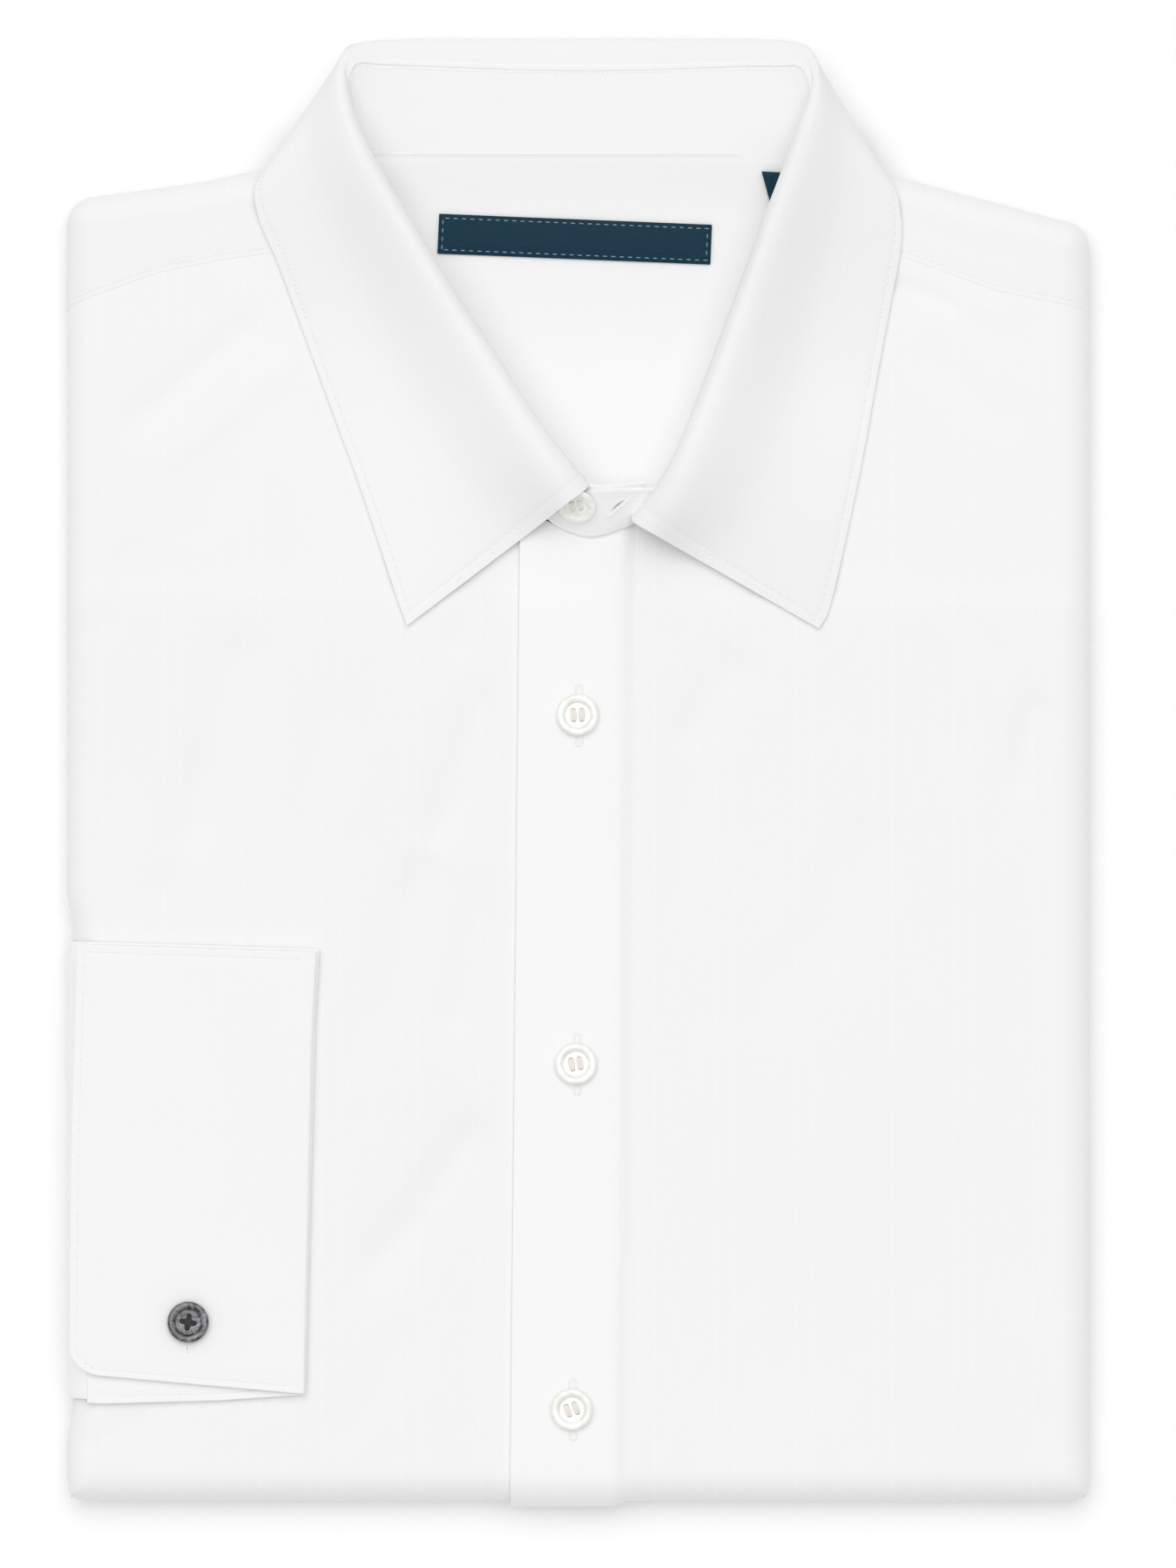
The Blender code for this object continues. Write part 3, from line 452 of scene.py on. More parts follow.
# The marks tint the cloth: backed cloth greyer, cloth of more layers whiter with the same mark also
# painting light on parts in shade, raised yarns whiter, and the last mark painting shade grey.
for share, colour in ((combine(tree, "MULTIPLY", marked["backed"], BACKED_SHARE), "#EEEEEE"),
                      (marked["doubled"], "#FAFAFA"),
                      (combine(tree, "MULTIPLY", raised, RAISED_SHARE), "#FCFCFC"),
                      (marked["shaded"], PAINTED_SHADE)):
    ground = tint(tree, share, ground, colour)
tree.links.new(ground, shader.inputs["Base Color"])

EDGE_TURNS = (98.0, 96.0, 94.0, 92.0, 90.0, 84.0, 78.0, 71.0, 64.0, 57.0, 50.0, 43.0, 36.0, 29.0,
              22.0, 15.0, 8.0, 0.0)
CORE_TURNS = (90.0, 75.0, 60.0, 45.0, 30.0, 15.0, 0.0)


def edge_lengths(turns):
    return [math.radians(turn) * FOLD_LENGTH for turn in turns]


core_lengths = edge_lengths(CORE_TURNS)
core_lower = [FLAT_FROM - e for e in core_lengths] + spread(FLAT_FROM, UPPER_START, CORE_CELL)[1:]
core_across = round(2 * SIDE_FLAT / CORE_CELL)
core_rows = len(core_lower) + CORE_UPPER_CELLS + len(core_lengths) - 2
core_columns = core_across + 2 * (len(core_lengths) - 1)


def core_corner(i, j):
    """Sheet coordinates of the hidden layers' grid."""
    y = core_lower[min(j, len(core_lower) - 1)]
    turns = len(core_lengths) - 1
    start, end = edge_column(y, -1, 0.0), edge_column(y, 1, 0.0)
    if i <= turns:
        u = edge_column(y, -1, core_lengths[i])
    elif i >= turns + core_across:
        u = edge_column(y, 1, core_lengths[2 * turns + core_across - i])
    else:
        u = mix(start, end, (i - turns) / core_across)
    above = j - len(core_lower) + 1
    if above <= 0:
        return u, core_lower[j]
    high = read_line(SHOULDER_LINE, clamp(u, start, end)) - FOLD_REACH
    if above <= CORE_UPPER_CELLS:
        return u, mix(UPPER_START, high, above / CORE_UPPER_CELLS)
    return u, high + core_lengths[len(core_lengths) - 1 - (above - CORE_UPPER_CELLS)]


def core_centre(x, y):
    """The nearest point of the flat middle."""
    centre_x = clamp(x, side_fold(max(y, FLAT_FROM), -1) + FOLD_REACH, SIDE_FLAT)
    return centre_x, clamp(y, FLAT_FROM, read_line(SHOULDER_LINE, centre_x) - FOLD_REACH)


def of_kind(items, kind):
    return [item for item in items if isinstance(item, kind)]


bm = cloth_grid(core_columns, core_rows,
                lambda i, j: body_point(*core_corner(i, j), -CLOTH_ROOM, core_height), core_corner)
sheet = bm.loops.layers.uv["sheet"]
upper_rim = [edge for edge in bm.edges if edge.is_boundary]
below = bmesh.ops.duplicate(bm, geom=bm.verts[:] + bm.edges[:] + bm.faces[:])
base_out = FOLD_REACH - CLOTH_ROOM
drawn_in = (FOLD_REACH - LIP_GROOVE) / base_out
for vert in of_kind(below["geom"], bmesh.types.BMVert):
    centre = core_centre(*vert.co.xy)
    spot = Vector([mix(c, at, drawn_in) for c, at in zip(centre, vert.co.xy)])
    vert.co = Vector((spot.x, spot.y, underside(spot.x, spot.y)))
lower_rim = [edge for edge in of_kind(below["geom"], bmesh.types.BMEdge) if edge.is_boundary]
rim = {}                   # the centre of each corner of the rim, and the way out from it
for edge in upper_rim:
    for vert in edge.verts:
        centre = core_centre(*vert.co.xy)
        rim[vert] = Vector(centre), Vector([at - c for c, at in zip(centre, vert.co.xy)])
rings = []                 # layer, height, bulge and inset of the lip, from above
for layer, (high, low, lip) in enumerate(LIPS):
    for angle in [math.pi * k / LIP_STEPS for k in range(LIP_STEPS)]:
        rings.append((layer, mix(high, low, (1.0 - math.cos(angle)) / 2.0), math.sin(angle), lip))
shaded = bm.verts.layers.float.new("shaded")
edges = upper_rim
for layer, height, bulge, lip in rings:
    sways = LIP_SWAY if height > LIP_SWAY_FROM else 0.0
    grown = bmesh.ops.extrude_edge_only(bm, edges=edges)["geom"]
    fresh = {}
    for vert in of_kind(grown, bmesh.types.BMVert):
        for edge in vert.link_edges:
            if edge.other_vert(vert) in rim:
                fresh[vert] = rim[edge.other_vert(vert)]
    for vert, (centre, out) in fresh.items():
        away = centre + out
        reach = lip + LIP_WAVER * waver(away.x, away.y, layer * 7.3, 38.0)
        inset = mix(LIP_GROOVE, reach, bulge ** 0.7)
        spot = centre + out * ((FOLD_REACH - inset) / base_out)
        sway = sways * waver(away.x, away.y, 40.0 + layer, 60.0)
        vert.co = Vector((spot.x, spot.y, height + sway))
        # painted shade: every lip is painted grey, as the gaps between the folds lie in shade
        vert[shaded] = 1.0
    rim = fresh
    edges = [edge for edge in of_kind(grown, bmesh.types.BMEdge) if edge.is_boundary]
bmesh.ops.bridge_loops(bm, edges=edges + lower_rim)
for face in bm.faces:
    for loop in face.loops:
        loop[sheet].uv = Vector((loop.vert.co.x, loop.vert.co.y + loop.vert.co.z)) * MM
folded_stack = add_piece("folded_stack", bm, poplin)
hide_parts("hidden_layers")

# ----------------------------------------------------------
# The two fronts.
# Single cloth, cut left and right, folded back over the stack at the sides and the lower end.
# Handling has left soft diagonal creases that fan out from the placket.
# ----------------------------------------------------------

BODY_CLOTH = 0.6
FRONT_CELL = 2.1
FRONT_UPPER_CELLS = 42     # from UPPER_START to the yoke seam
SEAM_LAP = 1.5             # how far a piece runs under the one that is sewn over it
# The seam between the fronts and the yoke: x, y.
YOKE_SEAM = (
    (-156.0, 124.0), (-140.2, 128.3), (-114.7, 137.2), (-98.2, 140.5), (-60.0, 146.0),
    (60.0, 146.0), (90.2, 141.0), (106.0, 135.3), (115.0, 132.0), (139.0, 127.3), (156.0, 123.0),
)
PLACKET_LEFT = (-18.7, -16.1)      # x of the placket's free edge, at the bottom and the neck
PLACKET_RIGHT = (14.6, 16.8)
UNDERLAP_EDGE = 2.0                # the right front ends here, under the placket
# Lesser creases and ridges of the fronts: x0, y0, x1, y1, half width, depth.
LESSER_CREASES = (
    (-22.8, 52.4, -35.8, 30.4, 4.5, 0.40), (-26.4, -1.3, -41.3, -21.7, 3.2, 0.30),
    (-41.3, -21.7, -48.7, -40.2, 3.6, 0.26), (-27.0, -27.2, -31.4, -51.2, 3.2, 0.30),
    (-26.4, -51.2, -35.8, -73.6, 3.6, 0.22), (-26.8, -94.0, -41.3, -119.9, 3.6, 0.30),
    (-41.3, -119.9, -59.8, -142.0, 4.6, 0.30), (-102.5, 6.1, -108.0, -25.3, 4.2, 0.30),
    (-108.0, -25.3, -117.1, -36.4, 3.6, 0.30), (-85.0, 127.3, -126.2, 91.6, 4.6, 0.65),
    (-76.0, 116.0, -117.0, 82.0, 4.0, -0.40), (-66.0, 24.0, -77.0, -22.0, 5.5, 0.30),
    (-54.0, 12.0, -62.0, -16.0, 4.0, -0.20), (-62.0, -62.0, -70.0, -110.0, 5.0, 0.22),
    (-120.0, 66.0, -131.0, 34.0, 4.0, 0.26), (-96.0, 86.0, -106.0, 62.0, 4.2, 0.20),
    (-44.0, -150.0, -66.0, -186.0, 5.0, 0.24), (30.1, 6.2, 26.0, -40.2, 4.4, 0.30),
    (45.0, 46.0, 60.0, 70.0, 4.0, 0.20), (71.8, -18.0, 62.0, -52.0, 4.2, 0.22),
    (55.0, -49.3, 47.5, -72.0, 4.0, 0.24), (96.0, 60.0, 112.0, 26.0, 5.0, 0.26),
    (104.0, 40.0, 122.0, 10.0, 3.8, -0.20), (33.0, -92.0, 48.0, -150.0, 5.0, 0.22),
    (84.0, -90.0, 96.0, -150.0, 6.0, 0.24), (118.0, -60.0, 130.0, -118.0, 4.6, 0.26),
    (92.0, 118.0, 122.0, 92.0, 5.0, 0.30), (84.0, 135.0, 106.0, 127.5, 2.4, 0.50),
    (100.0, 131.0, 120.0, 125.0, 2.6, -0.25), (60.0, -120.0, 72.0, -176.0, 5.0, 0.20),
    (-136.0, -186.0, -118.0, -176.0, 3.4, 0.30), (128.0, -172.0, 136.0, -192.0, 3.4, 0.30),
)
LESSER_SHARE = 1.9         # how deep the lesser creases are pressed
# The fronts take the main creases sharper than the layers under them.
FRONT_CREASES = [(*line, 0.85 * half_width, 1.55 * depth)
                 for *line, half_width, depth in MAIN_CREASES]
SLACK = 0.22               # slow unevenness of the cloth between the creases
SLACK_EASE = 12.0
HEM_PUCKER = 0.7           # fine upright puckers beside the lower fold
HEM_PUCKER_FROM = -182.0
HEM_PUCKER_EASE = 12.0


def creased_height(x, y):
    """Outside of the fronts, creased and a little slack away from the placket."""
    uneven = SLACK * (waver(x, 0.8 * y, 3.1, 52.0) - 1.0) + 0.4 * SLACK * waver(x, y, 7.7, 21.0)
    uneven *= soft((abs(x) - CREASE_FREE) / SLACK_EASE)
    creases = crease_depth(x, y, FRONT_CREASES) + LESSER_SHARE * crease_depth(x, y, LESSER_CREASES)
    near_hem = soft((HEM_PUCKER_FROM - y) / HEM_PUCKER_EASE)
    creases += HEM_PUCKER * waver(x, 0.2 * y, 6.1, 5.5) * near_hem
    return stack_height(x, y) - creases + uneven


def front_point(u, v, lift):
    return body_point(u, v, lift, creased_height)


def placket_edges(y):
    t = (y - BOTTOM_FOLD) / (UPPER_START - BOTTOM_FOLD)
    return mix(*PLACKET_LEFT, t), mix(*PLACKET_RIGHT, t)


def inner_edge(y, side):
    """X of a front's inner edge: under or beside the placket, then round the neck."""
    if side < 0:
        return min(UNDERLAP_EDGE, read_line(NECK_LINE, y, 1))
    return max(placket_edges(y)[1] - SEAM_LAP, read_line(NECK_LINE, y, 2))


wrap_lengths = edge_lengths(EDGE_TURNS)
body_rows = [FLAT_FROM - e for e in wrap_lengths] + spread(FLAT_FROM, UPPER_START, FRONT_CELL)[1:]
front_across = round(SIDE_FLAT / FRONT_CELL)


def body_column(i, y, side, inner):
    """Sheet coordinate of a column: round the side's edge, then on to the inner edge."""
    if i < len(wrap_lengths):
        return edge_column(y, side, wrap_lengths[i])
    return mix(edge_column(y, side, 0.0), inner, (i - len(wrap_lengths) + 1) / front_across)


def front_corner(i, j, side):
    """Sheet coordinates of a front's grid, from its side edge inwards and from below."""
    upper = max(0, j - len(body_rows) + 1) / FRONT_UPPER_CELLS
    y = body_rows[j] if not upper else mix(UPPER_START, UPPER_END, upper)
    u = body_column(i, y, side, inner_edge(y, side))
    if upper:
        y = mix(UPPER_START, read_line(YOKE_SEAM, u) + SEAM_LAP, upper)
    return u, y


def backed_at(spot):
    """Below the hidden layer's edge the fronts are backed by one layer more."""
    edge = mix(*LAYER_EDGE_Y, (spot.x + SIDE_FOLD) / (2.0 * SIDE_FOLD))
    return 1.0 - soft((spot.y - edge + 1.0) / 2.0)


def add_cloth(name, node, bm, thickness, offset=-1.0, round_edge=0.0, finish=poplin,
              slot="white_cotton", facing=(0, 0, 1), **shares):
    """Cloth in place of a solid, with its thickness below it or by its offset, and a soft edge.

    Shares from 0 to 1, even or by place, mark it: cloth of more layers lets less light through and
    looks whiter, and the same mark paints light on parts that lie in shade; backed cloth looks a
    little greyer, plainer cloth hides its stripes, and painted shade greys cloth where shade falls.
    """
    piece = add_piece(name, bm, finish, facing)
    for what, share in shares.items():
        values = piece.data.attributes.new(what, "FLOAT", "POINT").data
        for vert, value in zip(piece.data.vertices, values):
            value.value = share(vert.co / MM) if callable(share) else share
    solid = piece.modifiers.new("cloth thickness", "SOLIDIFY")
    solid.thickness = thickness * MM
    solid.offset = offset
    if round_edge:
        edge = piece.modifiers.new("soft edge", "BEVEL")
        edge.width = round_edge * MM
        edge.segments = 2
        edge.limit_method = "ANGLE"
        edge.angle_limit = math.radians(50)
    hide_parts(node)
    return piece


for name, side in (("right_front", -1), ("left_front", 1)):
    bm = cloth_grid(
        len(wrap_lengths) - 1 + front_across, len(body_rows) - 1 + FRONT_UPPER_CELLS,
        lambda i, j: front_point(*front_corner(i, j, side), 0.0),
        lambda i, j: front_corner(i, j, side))
    add_cloth(name + "_cloth", name, bm, BODY_CLOTH, backed=backed_at)

# ----------------------------------------------------------
# The placket.
# A folded band of the same cotton with a light interlining, sewn along the left front.  Its free
# edge is a crisp fold, and each buttonhole is a slit that is edged with close white stitches.
# ----------------------------------------------------------

GAP = 0.3
PLACKET_CLOTH = 1.3        # its outside lies this far above the gap over the right front
PLACKET_WALL = 1.25
PLACKET_CROWN = 0.12       # and swells by this much in its middle
PLACKET_SUNK = 0.04        # its sewn edge lies in line with the left front
PLACKET_DOUBLED_TO = 12.5  # x up to which more layers lie under it
# Top end of the placket, along the collar band's seam: x, y.
PLACKET_TOP = (
    (-17.0, 73.0), (-8.9, 67.6), (-2.4, 64.6), (2.9, 63.2), (7.0, 63.9), (14.4, 66.8), (18.0, 69.5),
)
PLACKET_SHARES = (
    0.0, 0.012, 0.03, 0.05, 0.08, 0.12, 0.17, 0.22, 0.28, 0.34, 0.4, 0.46, 0.52, 0.58, 0.64, 0.7,
    0.75, 0.79, 0.82, 0.845, 0.865, 0.88, 0.895, 0.91, 0.925, 0.94, 0.955, 0.97, 0.985, 1.0,
)
PLACKET_TOP_CELLS = 4
BUTTON_COLUMN = 11         # the buttons sit over this share


def placket_corner(i, j):
    above = max(0, j - len(body_rows) + 1)
    left, right = placket_edges(body_rows[j] if not above else UPPER_START)
    u = mix(left, right, PLACKET_SHARES[i])
    if not above:
        return u, body_rows[j]
    return u, mix(UPPER_START, read_line(PLACKET_TOP, u) + SEAM_LAP, above / PLACKET_TOP_CELLS)


def placket_lift(i):
    """The band lies on the right front and sinks beside the left one."""
    share = PLACKET_SHARES[i]
    crown = PLACKET_CROWN * math.sin(math.pi * clamp(share / 0.8, 0.0, 1.0))
    high = GAP + PLACKET_CLOTH - PLACKET_CROWN
    return mix(high, PLACKET_SUNK, soft((share - 0.84) / 0.15)) + crown


BUTTON_RADIUS = 5.7
SHIRT_BUTTONS = ((-0.2, 15.7), (-0.7, -80.0), (-1.8, -174.8))
BUTTONHOLE_LENGTH = 17.6
BUTTONHOLE_WIDTH = 2.6
BUTTONHOLE_SLIT = 0.7
BUTTONHOLE_HEIGHT = 0.2
BUTTONHOLE_ROUND = 0.12
BUTTONHOLE_SHIFT = 0.3     # it shows a little to one side of its button

bm = cloth_grid(
    len(PLACKET_SHARES) - 1, len(body_rows) - 1 + PLACKET_TOP_CELLS,
    lambda i, j: front_point(*placket_corner(i, j), placket_lift(i)), placket_corner)
placket = add_cloth(
    "placket_band", "front_placket", bm, PLACKET_WALL, round_edge=0.45, backed=backed_at,
    doubled=lambda spot: 0.5 * soft((PLACKET_DOUBLED_TO - spot.x) / 4.0) + 0.1)


def thread_finish(name, fibre, thin, thick, raised=0.0, drawn=(1.0, 1.0, 1.0), **even):
    """Thread whose fibres, this long, vary between two colours and may stand up a little."""
    finish, tree, shader = start_finish(name, **even)
    spot = add_node(tree, "ShaderNodeTexCoord").outputs["Object"]
    spot = add_node(tree, "ShaderNodeMapping", {"Vector": spot, "Scale": drawn}).outputs[0]
    fibres = add_node(tree, "ShaderNodeTexNoise", {"Vector": spot, "Scale": 1.0 / (fibre * MM)})
    tree.links.new(tint(tree, fibres.outputs[0], thin, thick), shader.inputs["Base Color"])
    if raised:
        emboss(tree, shader, fibres.outputs[0], raised, 0.1)
    return finish


# Bleached cotton sewing thread: whiter and smoother than the cloth, with a fine twist.
thread = thread_finish("white_sewing_thread", 0.6, "#F2F2F0", "#FFFFFF", 0.3, Roughness=0.6,
                       Sheen_Weight=0.1)
# Buttonhole silk, worked in close upright stitches; its greyer tone is painted shade along the
# slit's beaded edges.
silk = thread_finish("buttonhole_silk", 0.5, "#ECECEB", "#F7F7F6", 0.4, (0.3, 1.0, 0.3),
                     Roughness=0.7)


def add_buttonhole(bm, place, length=BUTTONHOLE_LENGTH):
    """A ring of close stitches round a slit, flat on the cloth, drawn out along its own Y."""
    ring = bmesh.new()
    bmesh.ops.create_circle(ring, cap_ends=True, segments=20, radius=BUTTONHOLE_WIDTH / 2)
    for vert in ring.verts:
        vert.co.y += math.copysign((length - BUTTONHOLE_WIDTH) / 2, vert.co.y)
    inner = bmesh.ops.inset_region(
        ring, faces=ring.faces[:], thickness=(BUTTONHOLE_WIDTH - BUTTONHOLE_SLIT) / 2,
        use_boundary=True, use_even_offset=True)
    slit = [face for face in ring.faces if face not in inner["faces"]]
    bmesh.ops.delete(ring, geom=slit, context="FACES_ONLY")
    raised = bmesh.ops.extrude_face_region(ring, geom=ring.faces[:])["geom"]
    top = of_kind(raised, bmesh.types.BMVert)
    bmesh.ops.translate(ring, verts=top, vec=(0, 0, BUTTONHOLE_HEIGHT))
    upper = [edge for edge in ring.edges if all(vert in top for vert in edge.verts)]
    upper = [edge for edge in upper if edge.calc_face_angle(0.0) > 1.0]
    bmesh.ops.bevel(ring, geom=upper, offset=BUTTONHOLE_ROUND, offset_type="OFFSET", segments=2,
                    profile=0.5, affect="EDGES", material=-1)
    bmesh.ops.transform(ring, matrix=place, verts=ring.verts)
    mesh = bpy.data.meshes.new("ring")
    ring.to_mesh(mesh)
    ring.free()
    bm.from_mesh(mesh)
    bpy.data.meshes.remove(mesh)


bm = bmesh.new()
placket_top = BODY_HEIGHT + GAP + PLACKET_CLOTH
for x, y in SHIRT_BUTTONS:
    spot = front_point(x + BUTTONHOLE_SHIFT, y, placket_lift(BUTTON_COLUMN))
    add_buttonhole(bm, Matrix.Translation(spot))
placket_holes = add_piece("placket_buttonholes", bm, silk)

# ----------------------------------------------------------
# The yoke's two front strips.
# They come over the shoulders and overlap the fronts; the turned edge makes a low band, held by
# one row of stitches.
# ----------------------------------------------------------

YOKE_CELLS_UP = 14
YOKE_TOP = 160.0           # its rows are spread up to here, by the neck
YOKE_STITCH_IN = 1.7
YOKE_STITCHED = (SIDE_FOLD - 2.0, 62.0)    # from the middle, outside and inside end of the row
YOKE_SEWN_DEPTH = 0.1
YOKE_BAND = 7.0            # width of the turned edge
YOKE_BAND_STEP = 0.14
STITCH_LENGTH = 1.75
STITCH_PITCH = 2.35
STITCH_WIDTH = 0.42
STITCH_HEIGHT = 0.2


def yoke_corner(i, j, side):
    y = mix(UPPER_END, YOKE_TOP, min(j / YOKE_CELLS_UP, 1.0))
    u = body_column(i, y, side, read_line(NECK_LINE, y, 1 if side < 0 else 2))
    seam = read_line(YOKE_SEAM, u)
    crown = read_line(SHOULDER_LINE, clamp(u, -SIDE_FLAT, SIDE_FLAT)) - FOLD_REACH
    if j <= YOKE_CELLS_UP:
        return u, mix(seam, crown, (j / YOKE_CELLS_UP) ** 1.25)
    return u, crown + wrap_lengths[len(wrap_lengths) - 1 - (j - YOKE_CELLS_UP)]


def yoke_point(u, v, lift=0.0):
    """The yoke's cloth: raised along its turned edge, drawn in along its stitches."""
    above = v - read_line(YOKE_SEAM, u)
    band = YOKE_BAND_STEP * (1.0 - soft((above - YOKE_BAND) / 2.5))
    sewn = YOKE_SEWN_DEPTH * math.exp(-((above - YOKE_STITCH_IN) / 0.9) ** 2)
    return front_point(u, v, lift + band - sewn)


def on_cloth(surface, a, b, out, reach=(0.4, 0.4), face=None):
    """Point on a surface of cloth, moved out, and the way it faces there: upwards, or to the
    side that face names.
    """
    across = surface(a + reach[0], b) - surface(a - reach[0], b)
    normal = across.cross(surface(a, b + reach[1]) - surface(a, b - reach[1])).normalized()
    normal *= face or math.copysign(1.0, normal.z)
    return surface(a, b) + normal * out, normal


def sew(name, runs, finish, length=STITCH_LENGTH, pitch=STITCH_PITCH, width=STITCH_WIDTH):
    """Rows of machine stitches; each run is a list of points on the cloth and their normals."""
    bm = bmesh.new()
    for run in runs:
        travelled, due = 0.0, pitch / 2
        for (here, up), (there, up_there) in zip(run, run[1:]):
            step = (there - here).length
            while step > 0 and due <= travelled + step:
                share = (due - travelled) / step
                along = (there - here).normalized()
                normal = up.lerp(up_there, share).normalized()
                sideways = normal.cross(along).normalized()
                normal = along.cross(sideways)
                turn = Matrix((along, sideways, normal)).transposed().to_4x4()
                size = Matrix.Diagonal((length / 2, width / 2, STITCH_HEIGHT / 2, 1.0))
                spot = Matrix.Translation(here.lerp(there, share))
                bmesh.ops.create_uvsphere(bm, u_segments=6, v_segments=4, radius=1.0,
                                          matrix=spot @ turn @ size)
                due += pitch
            travelled += step
    return add_piece(name, bm, finish)


for name, side in (("right_yoke", -1), ("left_yoke", 1)):
    bm = cloth_grid(
        len(wrap_lengths) - 1 + front_across, YOKE_CELLS_UP + len(wrap_lengths) - 1,
        lambda i, j: yoke_point(*yoke_corner(i, j, side)), lambda i, j: yoke_corner(i, j, side))
    # Painted shade greys the yokes' cloth a little.
    add_cloth(name + "_cloth", name, bm, BODY_CLOTH, round_edge=0.2, shaded=0.03)
    run = [on_cloth(yoke_point, u, read_line(YOKE_SEAM, u) + YOKE_STITCH_IN, 0.04)
           for u in spread(*[side * end for end in YOKE_STITCHED], 1.0)]
    stitches = sew(name + "_stitches", [run], thread)

# ----------------------------------------------------------
# The inside of the back in the neck, the woven label and the size tag.
# The back's yoke shows its inside between the two sides of the collar.  The label is a blank
# dark satin ribbon with turned ends, sewn down all round; the tag is a folded piece of ribbon.
# ----------------------------------------------------------

INNER_BACK_FROM = 70.0
INNER_BACK_TO = 169.8
INNER_BACK_INSET = 0.6
INNER_CELLS = (44, 40)
NECK_RISE = 0.8            # the cloth rises towards the collar's seam
NECK_SWELL = 4.5           # and swells under the collar's two rolls
NECK_UNEVEN = 0.12
LABEL_SIZE = (75.0, 11.0)
LABEL_CENTRE = (-1.0, 146.4)
LABEL_TILT = math.radians(-2.3)
LABEL_CELLS = (60, 12)
LABEL_STITCH_IN = 1.15
LABEL_SWELL = 0.3          # between its stitched edges
RIBBON = 0.5
TAG_CELLS = (10, 16)
TAG_CORNERS = ((53.4, 153.6), (60.4, 152.2), (57.0, 164.6), (50.3, 165.0))


def inner_corner(i, j):
    y = mix(INNER_BACK_FROM, INNER_BACK_TO, j / INNER_CELLS[1])
    left = read_line(NECK_LINE, y, 1) + INNER_BACK_INSET
    right = read_line(NECK_LINE, y, 2) - INNER_BACK_INSET
    return mix(left, right, i / INNER_CELLS[0]), y


def inner_point(x, y, lift=0.0):
    uneven = NECK_UNEVEN * waver(x, y, 5.5, 26.0) - NECK_UNEVEN
    from_side = min(x - read_line(NECK_LINE, y, 1), read_line(NECK_LINE, y, 2) - x)
    swell = NECK_SWELL * math.exp(-((from_side - 11.0) / 9.0) ** 2) * soft((158.0 - y) / 30.0)
    rise = NECK_RISE * soft((y - 152.0) / 20.0)
    return Vector((x, y, NECK_FLOOR + uneven + swell + rise + lift))


bm = cloth_grid(*INNER_CELLS, lambda i, j: inner_point(*inner_corner(i, j)), inner_corner)
# Painted shade greys the cloth towards the collar's back seam, and painted light whitens it towards
# the front of the neck.
inner_back = add_cloth("inner_back_cloth", "inner_back", bm, BODY_CLOTH, plainer=0.8,
                       shaded=lambda spot: 0.04 * soft((spot.y - 150.0) / 12.0),
                       doubled=lambda spot: 0.6 * soft((135.0 - spot.y) / 30.0))

# Dark blue-green satin ribbon: a smooth face of long floats, drawn 0.4 mm wide over a fine weave,
# that shines a little along them.
satin, tree, shader = start_finish("navy_satin_ribbon", Roughness=0.42, Sheen_Weight=0.03,
                                   Sheen_Roughness=0.35, Specular_IOR_Level=0.1)
on_ribbon = add_node(tree, "ShaderNodeUVMap", uv_map="sheet").outputs["UV"]
floats = yarn_noise(tree, on_ribbon, 5.0, 0.4)
woven = combine(tree, "MULTIPLY_ADD", yarn_noise(tree, on_ribbon, 0.6, 0.6, 0.0), 0.4, floats)
emboss(tree, shader, woven, 0.5, 0.12)
tree.links.new(tint(tree, floats, "#0C2C3C", "#123749"), shader.inputs["Base Color"])

# The ribbon's sewing thread is a lighter blue.
blue_thread = thread_finish("blue_sewing_thread", 0.7, "#5D8296", "#93B0BE", Roughness=0.55)


def label_point(a, b, lift=0.0):
    """Point of the label, from its own middle."""
    spot = Matrix.Rotation(LABEL_TILT, 2) @ Vector((a, b)) + Vector(LABEL_CENTRE)
    near_edge = min(LABEL_SIZE[0] / 2 - abs(a), LABEL_SIZE[1] / 2 - abs(b))
    swell = LABEL_SWELL * soft(near_edge / 3.5) + 0.1 * waver(a, b, 1.3, 14.0)
    return inner_point(spot.x, spot.y, GAP + RIBBON + swell + lift)


def label_corner(i, j):
    return ((i / LABEL_CELLS[0] - 0.5) * LABEL_SIZE[0], (j / LABEL_CELLS[1] - 0.5) * LABEL_SIZE[1])


bm = cloth_grid(*LABEL_CELLS, lambda i, j: label_point(*label_corner(i, j)), label_corner)
label = add_cloth("neck_label_ribbon", "neck_label", bm, RIBBON, round_edge=0.2, finish=satin,
                  slot="navy_satin")
half_w, half_h = LABEL_SIZE[0] / 2 - LABEL_STITCH_IN, LABEL_SIZE[1] / 2 - LABEL_STITCH_IN
label_turns = [Vector(p) for p in ((-half_w, -half_h), (half_w, -half_h), (half_w, half_h),
                                   (-half_w, half_h), (-half_w, -half_h))]
run = []
for here, there in zip(label_turns, label_turns[1:]):
    for share in spread(0.0, 1.0, 1.0 / (there - here).length):
        run.append(on_cloth(label_point, *here.lerp(there, share), 0.02))
label_stitches = sew("neck_label_stitches", [run], blue_thread, length=1.5, pitch=2.3,
                     width=0.34)


def tag_corner(i, j):
    s, t = i / TAG_CELLS[0], j / TAG_CELLS[1]
    low = Vector(TAG_CORNERS[0]).lerp(Vector(TAG_CORNERS[1]), s)
    high = Vector(TAG_CORNERS[3]).lerp(Vector(TAG_CORNERS[2]), s)
    return tuple(low.lerp(high, t))


bm = cloth_grid(*TAG_CELLS, lambda i, j: inner_point(*tag_corner(i, j), GAP + 2 * RIBBON),
                tag_corner)
tag = add_cloth("size_tag_ribbon", "size_tag", bm, RIBBON, round_edge=0.2, finish=satin,
                slot="navy_satin")

